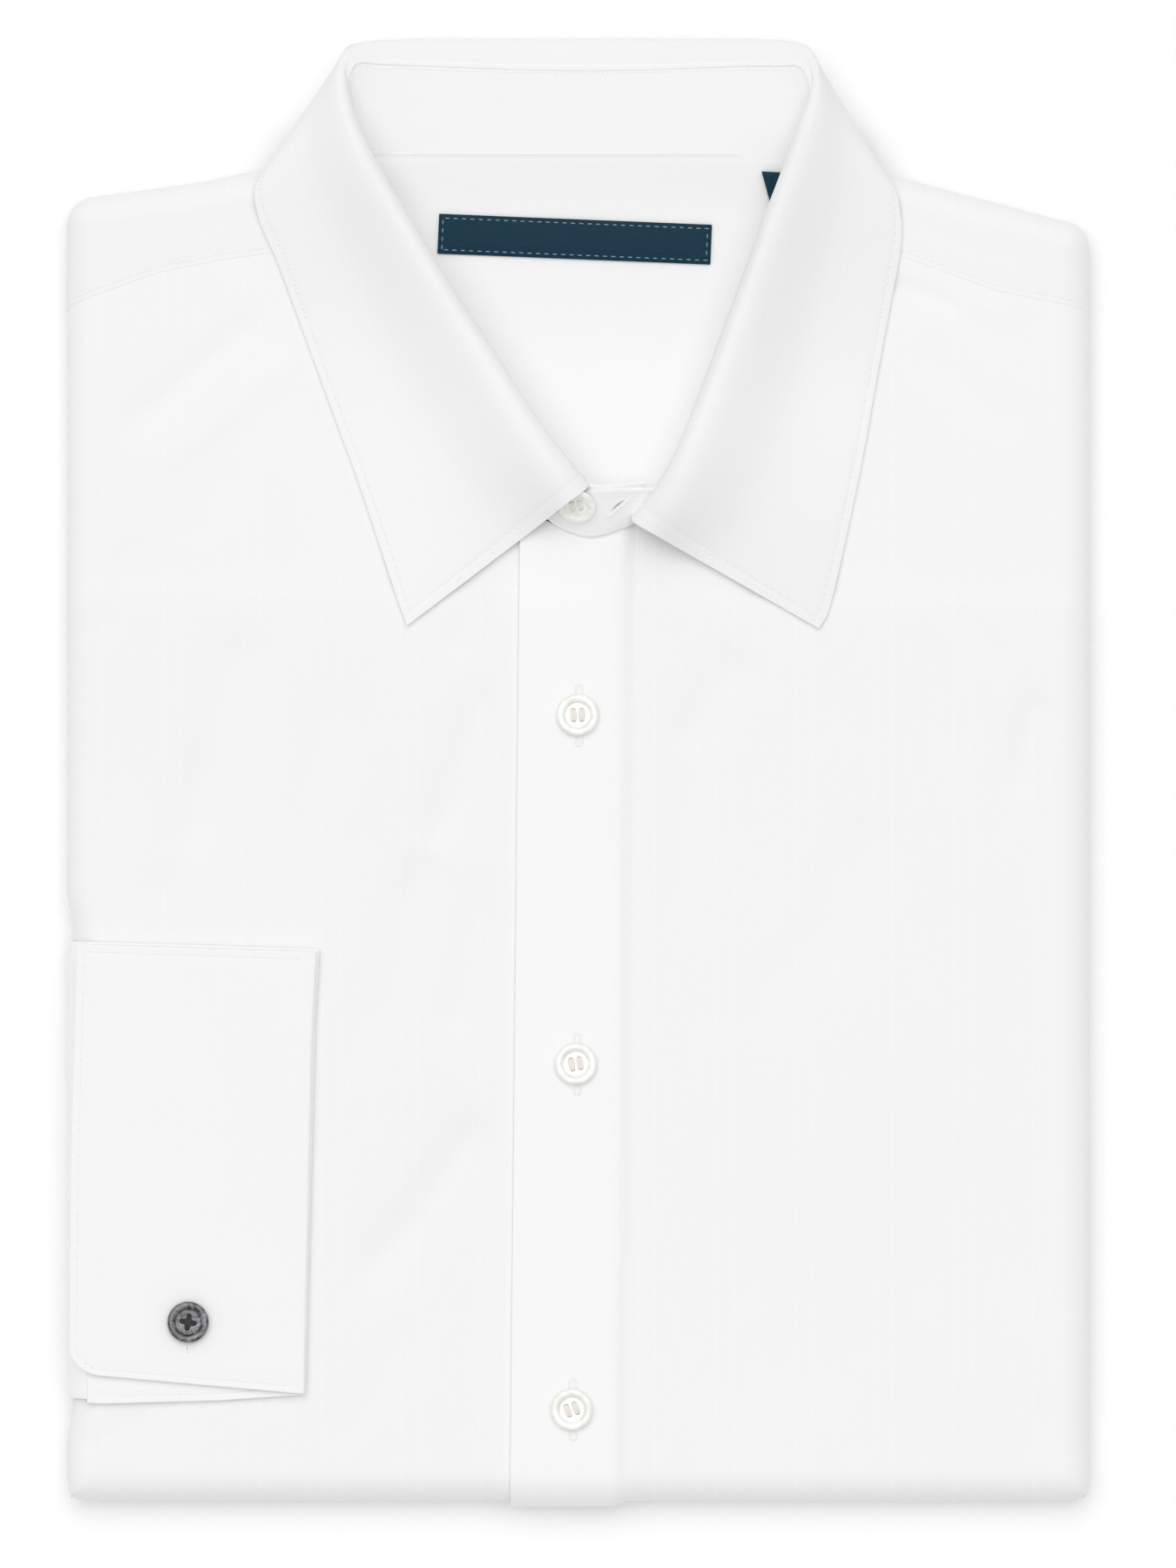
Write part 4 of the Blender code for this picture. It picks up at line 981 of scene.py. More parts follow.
# ----------------------------------------------------------
# The collar: leaf and stand.
# Both are two layers of the cotton over a stiff interlining.  The leaf is sewn to the stand's
# top, rolls over and falls to the shoulders; its edge is pressed and stitched.
# ----------------------------------------------------------

COLLAR_CLOTH = 1.3
COLLAR_MIDDLE = Vector((2.0, 128.0))
# Sections round the collar, from its end on the wearer's right, by the back, to the left:
# foot x, y   roll x, y, z   leaf's edge x, y, z   seam inside the roll   height of the leaf's
# middle, as a share   share turned under
COLLAR_SECTIONS = (
    (-9.6, 70.6, 2.0, 78.2, 30.2, -47.0, 40.2, 18.4, 1.2, 0.07, 0.0),
    (-14.5, 75.6, -4.2, 86.5, 33.0, -49.6, 47.5, 18.2, 0.3, 0.19, 0.0),
    (-24.0, 87.6, -12.3, 97.6, 34.6, -54.2, 61.6, 17.5, 0.0, 0.30, 0.0),
    (-37.0, 106.6, -25.0, 117.4, 35.2, -60.3, 80.0, 17.4, 0.0, 0.34, 0.0),
    (-49.0, 127.0, -37.9, 137.2, 35.0, -68.0, 101.0, 17.4, 0.0, 0.36, 0.0),
    (-57.6, 143.0, -47.0, 152.3, 33.6, -75.6, 121.8, 17.4, 0.0, 0.36, 0.0),
    (-62.6, 155.0, -55.7, 166.7, 31.2, -82.2, 139.5, 17.4, 0.1, 0.36, 0.0),
    (-63.8, 163.0, -61.2, 178.4, 28.2, -87.4, 151.5, 17.6, 0.2, 0.36, 0.04),
    (-61.3, 168.0, -64.2, 189.6, 24.4, -88.4, 160.0, 17.6, 0.5, 0.30, 0.22),
    (-55.7, 169.8, -63.8, 197.0, 19.4, -82.0, 169.6, 11.4, 2.6, 0.19, 0.6),
    (-48.0, 168.9, -58.8, 199.6, 14.8, -70.0, 176.6, 6.0, 5.8, 0.11, 0.9),
    (-38.0, 168.1, -46.0, 200.3, 12.4, -50.0, 177.5, 4.0, 6.5, 0.08, 1.0),
    (-19.0, 167.4, -23.0, 200.4, 11.6, -25.0, 177.0, 3.6, 6.5, 0.08, 1.0),
    (0.0, 167.0, 0.0, 200.4, 11.5, 0.0, 177.0, 3.6, 6.5, 0.08, 1.0),
    (19.0, 167.0, 23.0, 200.4, 11.6, 25.0, 177.0, 3.6, 6.5, 0.08, 1.0),
    (38.0, 166.8, 46.0, 200.3, 12.4, 50.0, 177.5, 4.0, 6.5, 0.08, 1.0),
    (49.0, 166.6, 58.6, 199.6, 14.8, 69.4, 176.2, 6.0, 6.2, 0.11, 0.9),
    (57.0, 166.2, 64.0, 196.4, 19.4, 80.4, 169.0, 11.4, 3.0, 0.19, 0.6),
    (62.4, 163.6, 64.4, 188.0, 24.4, 86.8, 159.0, 17.5, 0.5, 0.30, 0.22),
    (64.8, 157.5, 61.0, 177.6, 28.2, 88.5, 151.0, 17.5, 0.2, 0.36, 0.04),
    (64.8, 149.0, 56.6, 165.6, 31.2, 88.0, 142.0, 17.4, 0.1, 0.36, 0.0),
    (61.0, 136.5, 51.2, 151.5, 33.6, 85.2, 127.0, 17.4, 0.0, 0.36, 0.0),
    (55.0, 120.5, 45.0, 134.5, 35.0, 81.6, 107.5, 17.4, 0.0, 0.36, 0.0),
    (46.6, 102.6, 36.4, 111.0, 35.2, 77.5, 84.5, 17.4, 0.0, 0.34, 0.0),
    (37.6, 87.5, 28.1, 90.0, 33.8, 72.6, 61.0, 17.5, 0.0, 0.30, 0.0),
    (28.5, 77.4, 22.3, 78.6, 30.8, 68.8, 45.0, 18.2, 0.3, 0.19, 0.0),
    (18.6, 72.6, 15.4, 69.0, 25.6, 66.0, 39.4, 18.4, 1.2, 0.07, 0.0),
)
FOOT_AT_SIDE = 15.6
FOOT_AT_BACK = 12.65
ROLL_WALL = 0.6            # half of the leaf's wall, so that its outline lies on the roll
ROLL_BELOW_CREST = 1.4
EDGE_REST = 0.65           # the leaf's edge settles on the fronts
SEAM_BELOW_ROLL = 3.8
SEAM_ABOVE_FOLD = 2.8      # where the leaf is folded under
FULL_AT_SIDE = 0.36
STEEP_BELLY = 0.66         # the leaf's front ends fall close beside the stand
LEAF_EDGE_STEPS = (0.0, 0.4, 0.8, 1.2, 1.6, 2.0, 2.3, 2.6, 2.9, 3.3, 3.8, 4.5, 5.4, 6.5, 8.0)
LEAF_INNER_CELLS = 44
LEAF_END_STEPS = (
    0.0, 0.04, 0.08, 0.12, 0.17, 0.22, 0.28, 0.34, 0.4, 0.45, 0.5, 0.56, 0.64, 0.74, 0.86,
)
LEAF_STEP = 0.125
LEAF_WAY_AT = 20.0         # the cloth's run round the neck is measured this far from the edge
LEAF_END_PACE = 9.0        # about what one section takes up at the leaf's short edges
LEAF_STITCH_IN = 2.3       # from the leaf's long edge
LEAF_END_STITCH_IN = 3.5   # from its two short edges
LEAF_END_STITCHED = 56.0   # up the short edges
STITCH_GROOVE = 0.16
GROOVE_WIDTH = 0.6
LEAF_PUFF = 0.12
BEHIND_STAND = 0.3


def through(points, t):
    """Point at t (0 to 1) of a smooth curve through the points."""
    spans = len(points) - 1
    k = clamp(int(t * spans), 0, spans - 1)
    t = t * spans - k
    p1, p2 = points[k], points[k + 1]
    p0 = points[k - 1] if k else p1 * 2 - p2
    p3 = points[k + 2] if k + 2 <= spans else p2 * 2 - p1
    return (p1 * 2 + (p2 - p0) * t + (p0 * 2 - p1 * 5 + p2 * 4 - p3) * t * t
            + (p1 * 3 - p0 - p2 * 3 + p3) * t * t * t) / 2


def collar_marks(section):
    """Foot, seam, roll, crest, belly and edge of one section."""
    foot_x, foot_y, roll_x, roll_y, roll_z, edge_x, edge_y, edge_z, seam_in, full, under = section
    foot = Vector((foot_x, foot_y, mix(FOOT_AT_SIDE, FOOT_AT_BACK, soft(under * 2.0))))
    inward = (COLLAR_MIDDLE - Vector((roll_x, roll_y))).normalized()
    edge = Vector((edge_x, edge_y, edge_z - EDGE_REST * (1.0 - under)))
    half_wall = mix(ROLL_WALL, 0.0, under)
    roll = Vector((roll_x - inward.x * half_wall, roll_y - inward.y * half_wall,
                   roll_z - mix(ROLL_BELOW_CREST, 0.0, under)))
    seam = Vector((roll_x + inward.x * seam_in, roll_y + inward.y * seam_in,
                   roll_z + mix(-SEAM_BELOW_ROLL, SEAM_ABOVE_FOLD, under)))
    crest = roll.lerp(edge, mix(0.1, 0.0, under))
    crest.z = roll_z + mix(0.4, -3.4, under)
    belly = edge.lerp(roll, mix(mix(STEEP_BELLY, 0.5, full / FULL_AT_SIDE), 0.93, under))
    belly.z = mix(edge.z, roll_z, full)
    return foot, seam, roll, crest, belly, edge


marks = [collar_marks(section) for section in COLLAR_SECTIONS]
LAST = len(marks) - 1
CURVE_STEPS = 72
leaf_curves = {}


def leaf_curve(s):
    """The leaf's section at s, as points from its edge to its seam and the way to each."""
    key = round(s, 4)
    if key not in leaf_curves:
        turns = [through([mark[k] for mark in marks], s / LAST) for k in range(1, 6)]
        points = [through(turns, 1.0 - k / CURVE_STEPS) for k in range(CURVE_STEPS + 1)]
        points.append(points[-1] + (points[-1] - points[-2]).normalized() * SEAM_LAP)
        way = [0.0]
        for here, there in zip(points, points[1:]):
            way.append(way[-1] + (there - here).length)
        leaf_curves[key] = points, way
    return leaf_curves[key]


def leaf_point(s, distance):
    """Point of the leaf at section s, this far from its long edge along the cloth."""
    points, way = leaf_curve(s)
    for k in range(1, len(way)):
        if distance <= way[k] or k == len(way) - 1:
            share = (distance - way[k - 1]) / (way[k] - way[k - 1])
            return points[k - 1].lerp(points[k], share)


def end_pace(distance, at_end):
    """Length of the step between two sections, this far from the long edge, at one end."""
    a, b = (0.0, 1.0) if at_end < LAST / 2 else (LAST, LAST - 1.0)
    return (leaf_point(a, distance) - leaf_point(b, distance)).length


leaf_sections = list(LEAF_END_STEPS) + spread(1.0, LAST - 1.0, LEAF_STEP)
leaf_sections += [LAST - s for s in reversed(LEAF_END_STEPS)]
leaf_ways = []
run_length = 0.0
for here, there in zip(leaf_sections, leaf_sections[1:] + [LAST]):
    leaf_ways.append(run_length)
    run_length += (leaf_point(there, LEAF_WAY_AT) - leaf_point(here, LEAF_WAY_AT)).length
leaf_rows = []
for s in leaf_sections:
    length, near = leaf_curve(s)[1][-1], LEAF_EDGE_STEPS[-1]
    distances = list(LEAF_EDGE_STEPS) + spread(near, length, (length - near) / LEAF_INNER_CELLS)[1:]
    leaf_rows.append([(leaf_point(s, d), d) for d in distances])
leaf_count = len(LEAF_EDGE_STEPS) + LEAF_INNER_CELLS - 1


def leaf_grid(i, j):
    """A corner of the leaf, drawn in where it is stitched and where it goes behind the stand."""
    here, distance = leaf_rows[i][j]
    along = leaf_rows[min(i + 1, len(leaf_rows) - 1)][j][0] - leaf_rows[max(i - 1, 0)][j][0]
    across = leaf_rows[i][min(j + 1, leaf_count)][0] - leaf_rows[i][max(j - 1, 0)][0]
    s = leaf_sections[i]
    from_end = min(s, LAST - s) * LEAF_END_PACE
    along_ends = math.exp(-((from_end - LEAF_END_STITCH_IN) / GROOVE_WIDTH) ** 2)
    drawn = max(math.exp(-((distance - LEAF_STITCH_IN) / GROOVE_WIDTH) ** 2),
                along_ends * soft(distance / 2.0))
    puffed = LEAF_PUFF * waver(leaf_ways[i], distance, 6.6, 16.0)
    behind = BEHIND_STAND * soft((distance - leaf_rows[i][-1][1] + 2.0 * SEAM_LAP) / SEAM_LAP)
    normal = along.cross(across).normalized()
    return here + normal * (STITCH_GROOVE * drawn + puffed * soft(distance / 6.0) + behind)


bm = cloth_grid(len(leaf_rows) - 1, leaf_count, leaf_grid,
                lambda i, j: (leaf_rows[i][j][1], leaf_ways[i]))


def leaf_painted_shade(spot):
    """Painted shade: on the left side towards its front and back, elsewhere towards the back."""
    if spot.x > 20.0:
        return 0.055 * clamp(abs(spot.y - 100.0) / 45.0, 0.0, 1.0)
    return 0.035 * soft((spot.y - 110.0) / 30.0)


# Painted shade greys the leaf, and painted light whitens it around y = 92.
leaf = add_cloth("collar_leaf_cloth", "collar_leaf", bm, COLLAR_CLOTH, offset=0.0, round_edge=0.4,
                 shaded=leaf_painted_shade,
                 doubled=lambda spot: 0.4 * math.exp(-((spot.y - 92.0) / 32.0) ** 2))


def leaf_stitch(s, distance):
    """Place and facing of a stitch on the leaf's outside."""
    return on_cloth(lambda a, b: leaf_point(clamp(a, 0.0, LAST), b), s, distance,
                    COLLAR_CLOTH / 2 - STITCH_GROOVE + 0.06, reach=(0.05, 0.4), face=-1)


start_s = LEAF_END_STITCH_IN / end_pace(LEAF_STITCH_IN, 0)
end_s = LAST - LEAF_END_STITCH_IN / end_pace(LEAF_STITCH_IN, LAST)
first_end = [leaf_stitch(LEAF_END_STITCH_IN / end_pace(d, 0), d)
             for d in spread(LEAF_END_STITCHED, LEAF_STITCH_IN, 1.0)]
long_edge = [leaf_stitch(s, LEAF_STITCH_IN) for s in spread(start_s, end_s, 0.06)]
last_end = [leaf_stitch(LAST - LEAF_END_STITCH_IN / end_pace(d, LAST), d)
            for d in spread(LEAF_STITCH_IN, LEAF_END_STITCHED, 1.0)]
leaf_stitches = sew("collar_leaf_stitches", [first_end, long_edge, last_end], thread)

# Ends of the stand beyond the leaf: foot x, y, z   top x, y, z.
# The wearer's right end lies under the left one.
UNDERLAP_END = (
    (14.6, 71.4, 15.8, 18.2, 79.6, 25.9), (9.0, 69.6, 15.6, 11.4, 78.9, 26.2),
    (2.0, 68.8, 15.4, 3.8, 78.6, 26.6), (-5.0, 69.8, 15.4, -0.8, 81.8, 27.6),
)
OVERLAP_END = (
    (15.6, 68.9, 17.6, 18.8, 77.8, 25.2), (11.0, 66.9, 18.0, 13.4, 77.6, 26.2),
    (6.6, 65.4, 18.2, 7.8, 77.4, 26.8), (2.6, 64.9, 18.2, 1.8, 77.0, 26.6),
    (-2.6, 66.3, 18.2, -4.2, 76.0, 25.2), (-6.6, 68.4, 18.4, -7.8, 74.2, 23.0),
    (-8.8, 70.0, 19.4, -9.4, 72.4, 21.4),
)
STAND_CELLS = 18
STAND_STEPS_EACH = 7
STAND_HEIGHT = 30.0        # of the flat cloth
STAND_STITCH_IN = 1.9
STAND_STITCHED = (0.5, 0.8)    # the rows end this many lines before the stand's two ends
SLIT_FROM = (215, 9)       # corner of the stand's grid where the buttonhole's slit starts
SLIT_CELLS = 5             # it is cut aslant, from corner to corner
COLLAR_HOLE_LENGTH = 9.5


def foot_and_top(rows):
    return [(Vector(row[:3]), Vector(row[3:])) for row in rows]


stand_lines = foot_and_top(UNDERLAP_END) + [mark[:2] for mark in marks[1:-1]]
stand_lines += foot_and_top(OVERLAP_END)
stand_spans = len(stand_lines) - 1
stand_feet, stand_tops = zip(*stand_lines)


def stand_point(s, share):
    """Point of the stand at line s, from its foot (0) to its top (1)."""
    foot, top = through(stand_feet, s / stand_spans), through(stand_tops, s / stand_spans)
    return foot.lerp(top, share)


def stand_stitch(s, share, face):
    """Place and facing of a stitch on the stand's inside (1) or outside (-1)."""
    return on_cloth(lambda a, b: stand_point(clamp(a, 0.0, stand_spans), clamp(b, 0.0, 1.0)), s,
                    share, COLLAR_CLOTH / 2 + 0.02, reach=(0.1, 0.05), face=-face)


def cut_slit(bm, spots, width):
    """Cut cloth along a run of its corners and ease it open into a narrow eye."""
    path = [min(bm.verts, key=lambda vert: (vert.co - spot).length) for spot in spots]
    cut = []
    for here, there in zip(path, path[1:]):
        if not bm.edges.get((here, there)):
            bmesh.ops.connect_verts(bm, verts=[here, there])
        cut.append(bm.edges.get((here, there)))
    bmesh.ops.split_edges(bm, edges=cut)
    for k, spot in enumerate(spots[1:-1], 1):
        along = (spots[k + 1] - spots[k - 1]).normalized()
        for vert in [vert for vert in bm.verts if (vert.co - spot).length < 0.001]:
            centres = [face.calc_center_median() for face in vert.link_faces]
            side = sum(centres, Vector()) / len(centres) - spot
            side -= along * side.dot(along)
            vert.co += side.normalized() * width / 2 * math.sin(math.pi * k / (len(spots) - 1))


stand_columns = stand_spans * STAND_STEPS_EACH
stand_ways = [0.0]
for k in range(stand_columns):
    a, b = stand_point(k / STAND_STEPS_EACH, 0.5), stand_point((k + 1) / STAND_STEPS_EACH, 0.5)
    stand_ways.append(stand_ways[-1] + (b - a).length)
bm = cloth_grid(stand_columns, STAND_CELLS,
                lambda i, j: stand_point(i / STAND_STEPS_EACH, j / STAND_CELLS),
                lambda i, j: (j * STAND_HEIGHT / STAND_CELLS, stand_ways[i]))
hole_spots = [stand_point((SLIT_FROM[0] - k) / STAND_STEPS_EACH, (SLIT_FROM[1] + k) / STAND_CELLS)
              for k in range(SLIT_CELLS + 1)]
cut_slit(bm, hole_spots, BUTTONHOLE_SLIT)
# Painted light whitens the band at the front below its top edge, and the rest of the stand a
# little.
stand = add_cloth(
    "collar_stand_cloth", "collar_stand", bm, COLLAR_CLOTH, offset=0.0, round_edge=0.3, plainer=0.8,
    doubled=lambda spot: 0.1 + 0.9 * soft((100.0 - spot.y) / 10.0) * soft((77.5 - spot.y) / 2.0))
stand_runs = []
for face in (1, -1):
    for at_top in (True, False):
        run = []
        for s in spread(STAND_STITCHED[0], stand_spans - STAND_STITCHED[1], 0.08):
            share = STAND_STITCH_IN / (stand_point(s, 1.0) - stand_point(s, 0.0)).length
            run.append(stand_stitch(s, 1.0 - share if at_top else share, face))
        stand_runs.append(run)
stand_stitches = sew("collar_stand_stitches", stand_runs, thread)

COLLAR_BUTTON_RADIUS = 5.3
COLLAR_BUTTON_ROW = 3      # the button lies between this row of the overlap and the next
COLLAR_BUTTON_SHARES = (0.4, 0.78)    # across from that row, and up the stand


def overlap_place(across, up):
    """Place on the middle of the overlap's cloth, with axes along the stand, up it and out."""
    rows = OVERLAP_END[COLLAR_BUTTON_ROW:COLLAR_BUTTON_ROW + 2]
    (foot, top), (next_foot, next_top) = foot_and_top(rows)
    along = (foot - next_foot).lerp(top - next_top, up).normalized()
    slope = (top - foot).lerp(next_top - next_foot, across)
    normal = along.cross(slope).normalized()
    turn = Matrix((along, normal.cross(along), normal)).transposed().to_4x4()
    spot = foot.lerp(next_foot, across).lerp(top.lerp(next_top, across), up)
    return Matrix.Translation(spot) @ turn


collar_button_place = overlap_place(*COLLAR_BUTTON_SHARES) @ Matrix.Translation(
    (0.0, 0.0, COLLAR_CLOTH / 2 + 1.5 * GAP))
along = (hole_spots[-1] - hole_spots[0]).normalized()
normal = along.cross(Vector((1.0, 0.0, 0.0))).normalized()
normal = normal if normal.z > 0 else -normal
turn = Matrix((along.cross(normal), along, normal)).transposed().to_4x4()
middle = (hole_spots[0] + hole_spots[-1]) / 2 + normal * (COLLAR_CLOTH / 2 - 0.1)
bm = bmesh.new()
add_buttonhole(bm, Matrix.Translation(middle) @ turn, COLLAR_HOLE_LENGTH)
stand_hole = add_piece("collar_buttonhole", bm, thread)

# ----------------------------------------------------------
# The sleeve's end and the double cuff.
# The right sleeve comes round the side fold, and its cuff is turned back on itself, so that two
# halves of interlined cotton lie over each other with a round fold at the wrist.
# ----------------------------------------------------------

SLEEVE_SEAM = -135.2
SLEEVE_FROM = -172.0
SLEEVE_TO = -46.5
SLEEVE_LIFT = 1.25
SLEEVE_CELL = 2.0
SLEEVE_CELLS_IN = 4
SLEEVE_COVERS = 46.0       # the cloth comes up from this turn of the round edge
SLEEVE_CUT_FROM = -150.0   # where its cloth lies in the stripe
# Bumps along the side fold: y, half width, height; and a finer unevenness.
SLEEVE_BUMPS = ((-54.0, 4.5, 0.42), (-76.0, 7.0, 0.21))
SLEEVE_UNEVEN = 0.15

sleeve_lengths = [e for e, turn in zip(wrap_lengths, EDGE_TURNS) if turn >= SLEEVE_COVERS]
sleeve_rows = spread(SLEEVE_FROM, SLEEVE_TO, SLEEVE_CELL)


def sleeve_point(i, j):
    """The cloth follows the round edge of the front, then runs flat to the cuff's seam."""
    y = sleeve_rows[j]
    lift = SLEEVE_LIFT + SLEEVE_UNEVEN * waver(0.0, y, 8.8, 12.0)
    for middle, half_width, height in SLEEVE_BUMPS:
        lift += height * math.exp(-((y - middle) / half_width) ** 2)
    u = edge_column(y, -1, sleeve_lengths[min(i, len(sleeve_lengths) - 1)])
    edge = front_point(u, y, lift)
    if i < len(sleeve_lengths):
        return edge
    share = (i - len(sleeve_lengths) + 1) / SLEEVE_CELLS_IN
    return edge.lerp(Vector((SLEEVE_SEAM, y, BODY_HEIGHT + SLEEVE_LIFT)), share)


bm = cloth_grid(len(sleeve_lengths) - 1 + SLEEVE_CELLS_IN, len(sleeve_rows) - 1, sleeve_point,
                lambda i, j: (SLEEVE_CUT_FROM + i, sleeve_rows[j]))
# Painted light whitens the sleeve's end, which lies in shade beside the cuff on the round edge.
sleeve = add_cloth("sleeve_end_cloth", "sleeve_end", bm, BODY_CLOTH, round_edge=0.2,
                   facing=(-1, 0, 1), doubled=1.0)

CUFF_CLOTH = 0.75
CUFF_MIDDLE_RADIUS = 0.42  # of the middle of its cloth, round its fold
CUFF_OUTER = 0.82          # half of what one half of the cuff takes up in height
CUFF_WIDTH = 65.0
CUFF_LENGTH = 122.0
CUFF_CUT_FROM = -72.0      # where its cloth lies in the stripe
CUFF_CUT_SIZE = (66.0, 120.0)
CUFF_EDGE_X = -139.9       # the upper half's free edge
CUFF_UNDER_X = -131.0
CUFF_FOLD_DEPTH = 1.6      # the pressed fold is deeper than it is high
CUFF_STEP = 0.8            # the upper half is set back from the under half
CUFF_BOTTOM = BODY_HEIGHT + GAP
CUFF_LEFT = ((-170.0, -139.9), (-158.0, -139.7), (-106.7, -139.3), (-47.0, -137.6))   # y, x
CUFF_RIGHT = ((-172.0, -74.7), (-119.6, -73.4), (-67.6, -72.1), (-48.0, -71.0))       # y, x
CUFF_TOP = ((-140.0, -46.2), (-71.0, -48.4))                                          # x, y
UPPER_CUFF_LINE = ((-140.0, -164.8), (-131.8, -165.5), (-76.6, -170.4), (-73.0, -170.7))
UNDER_CUFF_END = ((-140.0, -172.6), (-131.3, -173.3), (-98.6, -172.4), (-73.0, -170.7))
CUFF_CORNER = 8.5          # radius of the upper half's free corner
CUFF_CORNER_STEPS = 12
CUFF_CORNER_LIFT = 0.25
CUFF_SEWN_DEPTH = 0.14
CUFF_SHARES = (0.0, 0.003, 0.008, 0.015, 0.024, 0.036, 0.05, 0.07, 0.095, 0.125)
CUFF_CELLS_ACROSS = 28
CUFF_FOLD_STEPS = 8
CUFF_ENDS = (0.0, 0.004, 0.008, 0.012, 0.017, 0.023)
CUFF_EVEN = (0.03, 0.97)   # between its ends the cells are even
CUFF_CELLS_ALONG = 60
CUFF_STITCH_IN = 2.0

cuff_shares = list(CUFF_SHARES)
cuff_shares += spread(CUFF_SHARES[-1], 1.0, (1.0 - CUFF_SHARES[-1]) / CUFF_CELLS_ACROSS)[1:]
cuff_along = list(CUFF_ENDS)
cuff_along += spread(*CUFF_EVEN, (CUFF_EVEN[1] - CUFF_EVEN[0]) / CUFF_CELLS_ALONG)
cuff_along += [1.0 - end for end in reversed(CUFF_ENDS)]
cuff_path = [(share, 0.0) for share in cuff_shares]
cuff_path += [(1.0, math.pi * k / CUFF_FOLD_STEPS) for k in range(1, CUFF_FOLD_STEPS)]
cuff_path += [(share, math.pi) for share in reversed(cuff_shares)]


def upper_cuff_end(x):
    """Y of the upper half's free end, with its rounded corner."""
    inside = max(0.0, x - CUFF_EDGE_X)
    corner = 0.0
    if inside < CUFF_CORNER:
        corner = CUFF_CORNER - math.sqrt(CUFF_CORNER ** 2 - (CUFF_CORNER - inside) ** 2)
    return read_line(UPPER_CUFF_LINE, x) + corner


def under_cuff_end(x):
    return read_line(UNDER_CUFF_END, x)


def cuff_surface(share, turn, along, bottom, end_line, free_edge):
    """Middle of the cuff's cloth: share across, turn round the fold, share along."""
    y = mix(CUFF_TOP[0][1], end_line(CUFF_EDGE_X if free_edge else CUFF_UNDER_X), along)
    left = read_line(CUFF_LEFT, y) if free_edge and turn < 1.0 else SLEEVE_SEAM + GAP
    step = CUFF_STEP if free_edge else 0.0
    x = mix(left + 0.1, read_line(CUFF_RIGHT, y) - step - CUFF_FOLD_DEPTH - CUFF_CLOTH / 2, share)
    y = mix(read_line(CUFF_TOP, x) - 0.1 - step, end_line(x), along)
    out = CUFF_FOLD_DEPTH * math.sin(turn)
    z = bottom + CUFF_OUTER + CUFF_MIDDLE_RADIUS * math.cos(turn)
    if turn < 1.0:
        edge = min(share * CUFF_WIDTH, along * CUFF_LENGTH, (1.0 - along) * CUFF_LENGTH)
        sewn = CUFF_SEWN_DEPTH * math.exp(-((edge - CUFF_STITCH_IN) / 0.7) ** 2)
        z += 0.18 * waver(x, y, 3.9, 24.0) * soft(edge / 10.0) - sewn - 0.05
        if free_edge:
            z += CUFF_CORNER_LIFT * soft(1.0 - share * 4.0) * soft((along - 0.82) * 6.0)
    return Vector((x + out, y, z))


UP = Vector((0.0, 0.0, 1.0))
halves = (("cuff_under_half", CUFF_BOTTOM, under_cuff_end, False),
          ("cuff_upper_half", CUFF_BOTTOM + 2 * CUFF_OUTER + GAP, upper_cuff_end, True))
for name, bottom, end_line, free_edge in halves:
    bm = cloth_grid(
        len(cuff_path) - 1, len(cuff_along) - 1,
        lambda i, j: cuff_surface(*cuff_path[i], cuff_along[j], bottom, end_line, free_edge),
        lambda i, j: (CUFF_CUT_FROM - CUFF_CUT_SIZE[0] * cuff_path[i][0] + 3.0 * cuff_path[i][1],
                      CUFF_CUT_SIZE[1] * cuff_along[j]))
    half = add_cloth(name + "_cloth", name, bm, CUFF_CLOTH, offset=0.0, round_edge=0.3,
                     facing=None, plainer=0.6, doubled=0.15)
    if half.data.polygons[len(cuff_along) * 4].normal.z < 0:
        half.data.flip_normals()
    runs = []
    first = CUFF_STITCH_IN / CUFF_LENGTH
    last = 1.0 - first
    for line in ([(CUFF_STITCH_IN / CUFF_WIDTH, t) for t in spread(0.017, last - 0.05, 0.01)],
                 [(s, last) for s in spread(0.13, 0.97, 0.01)],
                 [(s, first) for s in spread(0.04, 0.97, 0.01)]):
        spots = [cuff_surface(share, 0.0, t, bottom, end_line, free_edge) for share, t in line]
        runs.append([(spot + UP * (CUFF_CLOTH / 2 + 0.05), UP) for spot in spots])
    if free_edge:
        corner = []
        reach = CUFF_CORNER - CUFF_STITCH_IN
        for angle in spread(0.0, math.pi / 2, math.pi / 2 / CUFF_CORNER_STEPS):
            x = CUFF_EDGE_X + CUFF_CORNER - reach * math.cos(angle)
            y = read_line(UPPER_CUFF_LINE, x) + CUFF_CORNER - reach * math.sin(angle)
            z = bottom + CUFF_OUTER + CUFF_MIDDLE_RADIUS + CUFF_CLOTH / 2 + 0.1
            corner.append((Vector((x, y, z)), UP))
        runs.append(corner)
    sew(name + "_stitches", runs, thread)

CUFF_BUTTON = (-107.0, -150.8)
CUFF_HOLE_SHIFT = Vector((0.2, 0.2, -0.3))     # it lies a little beside and below its button
cuff_top = CUFF_BOTTOM + 4 * CUFF_OUTER + GAP
bm = bmesh.new()
add_buttonhole(bm, Matrix.Translation(Vector((*CUFF_BUTTON, cuff_top)) + CUFF_HOLE_SHIFT))
cuff_hole = add_piece("cuff_buttonhole", bm, silk)

# ----------------------------------------------------------
# The buttons.
# Turned from cast resin: a raised round rim, a sunk middle and four holes, sewn on with thread.
# The front and the collar have pearly white ones, the cuff a smoky dark one.
# ----------------------------------------------------------

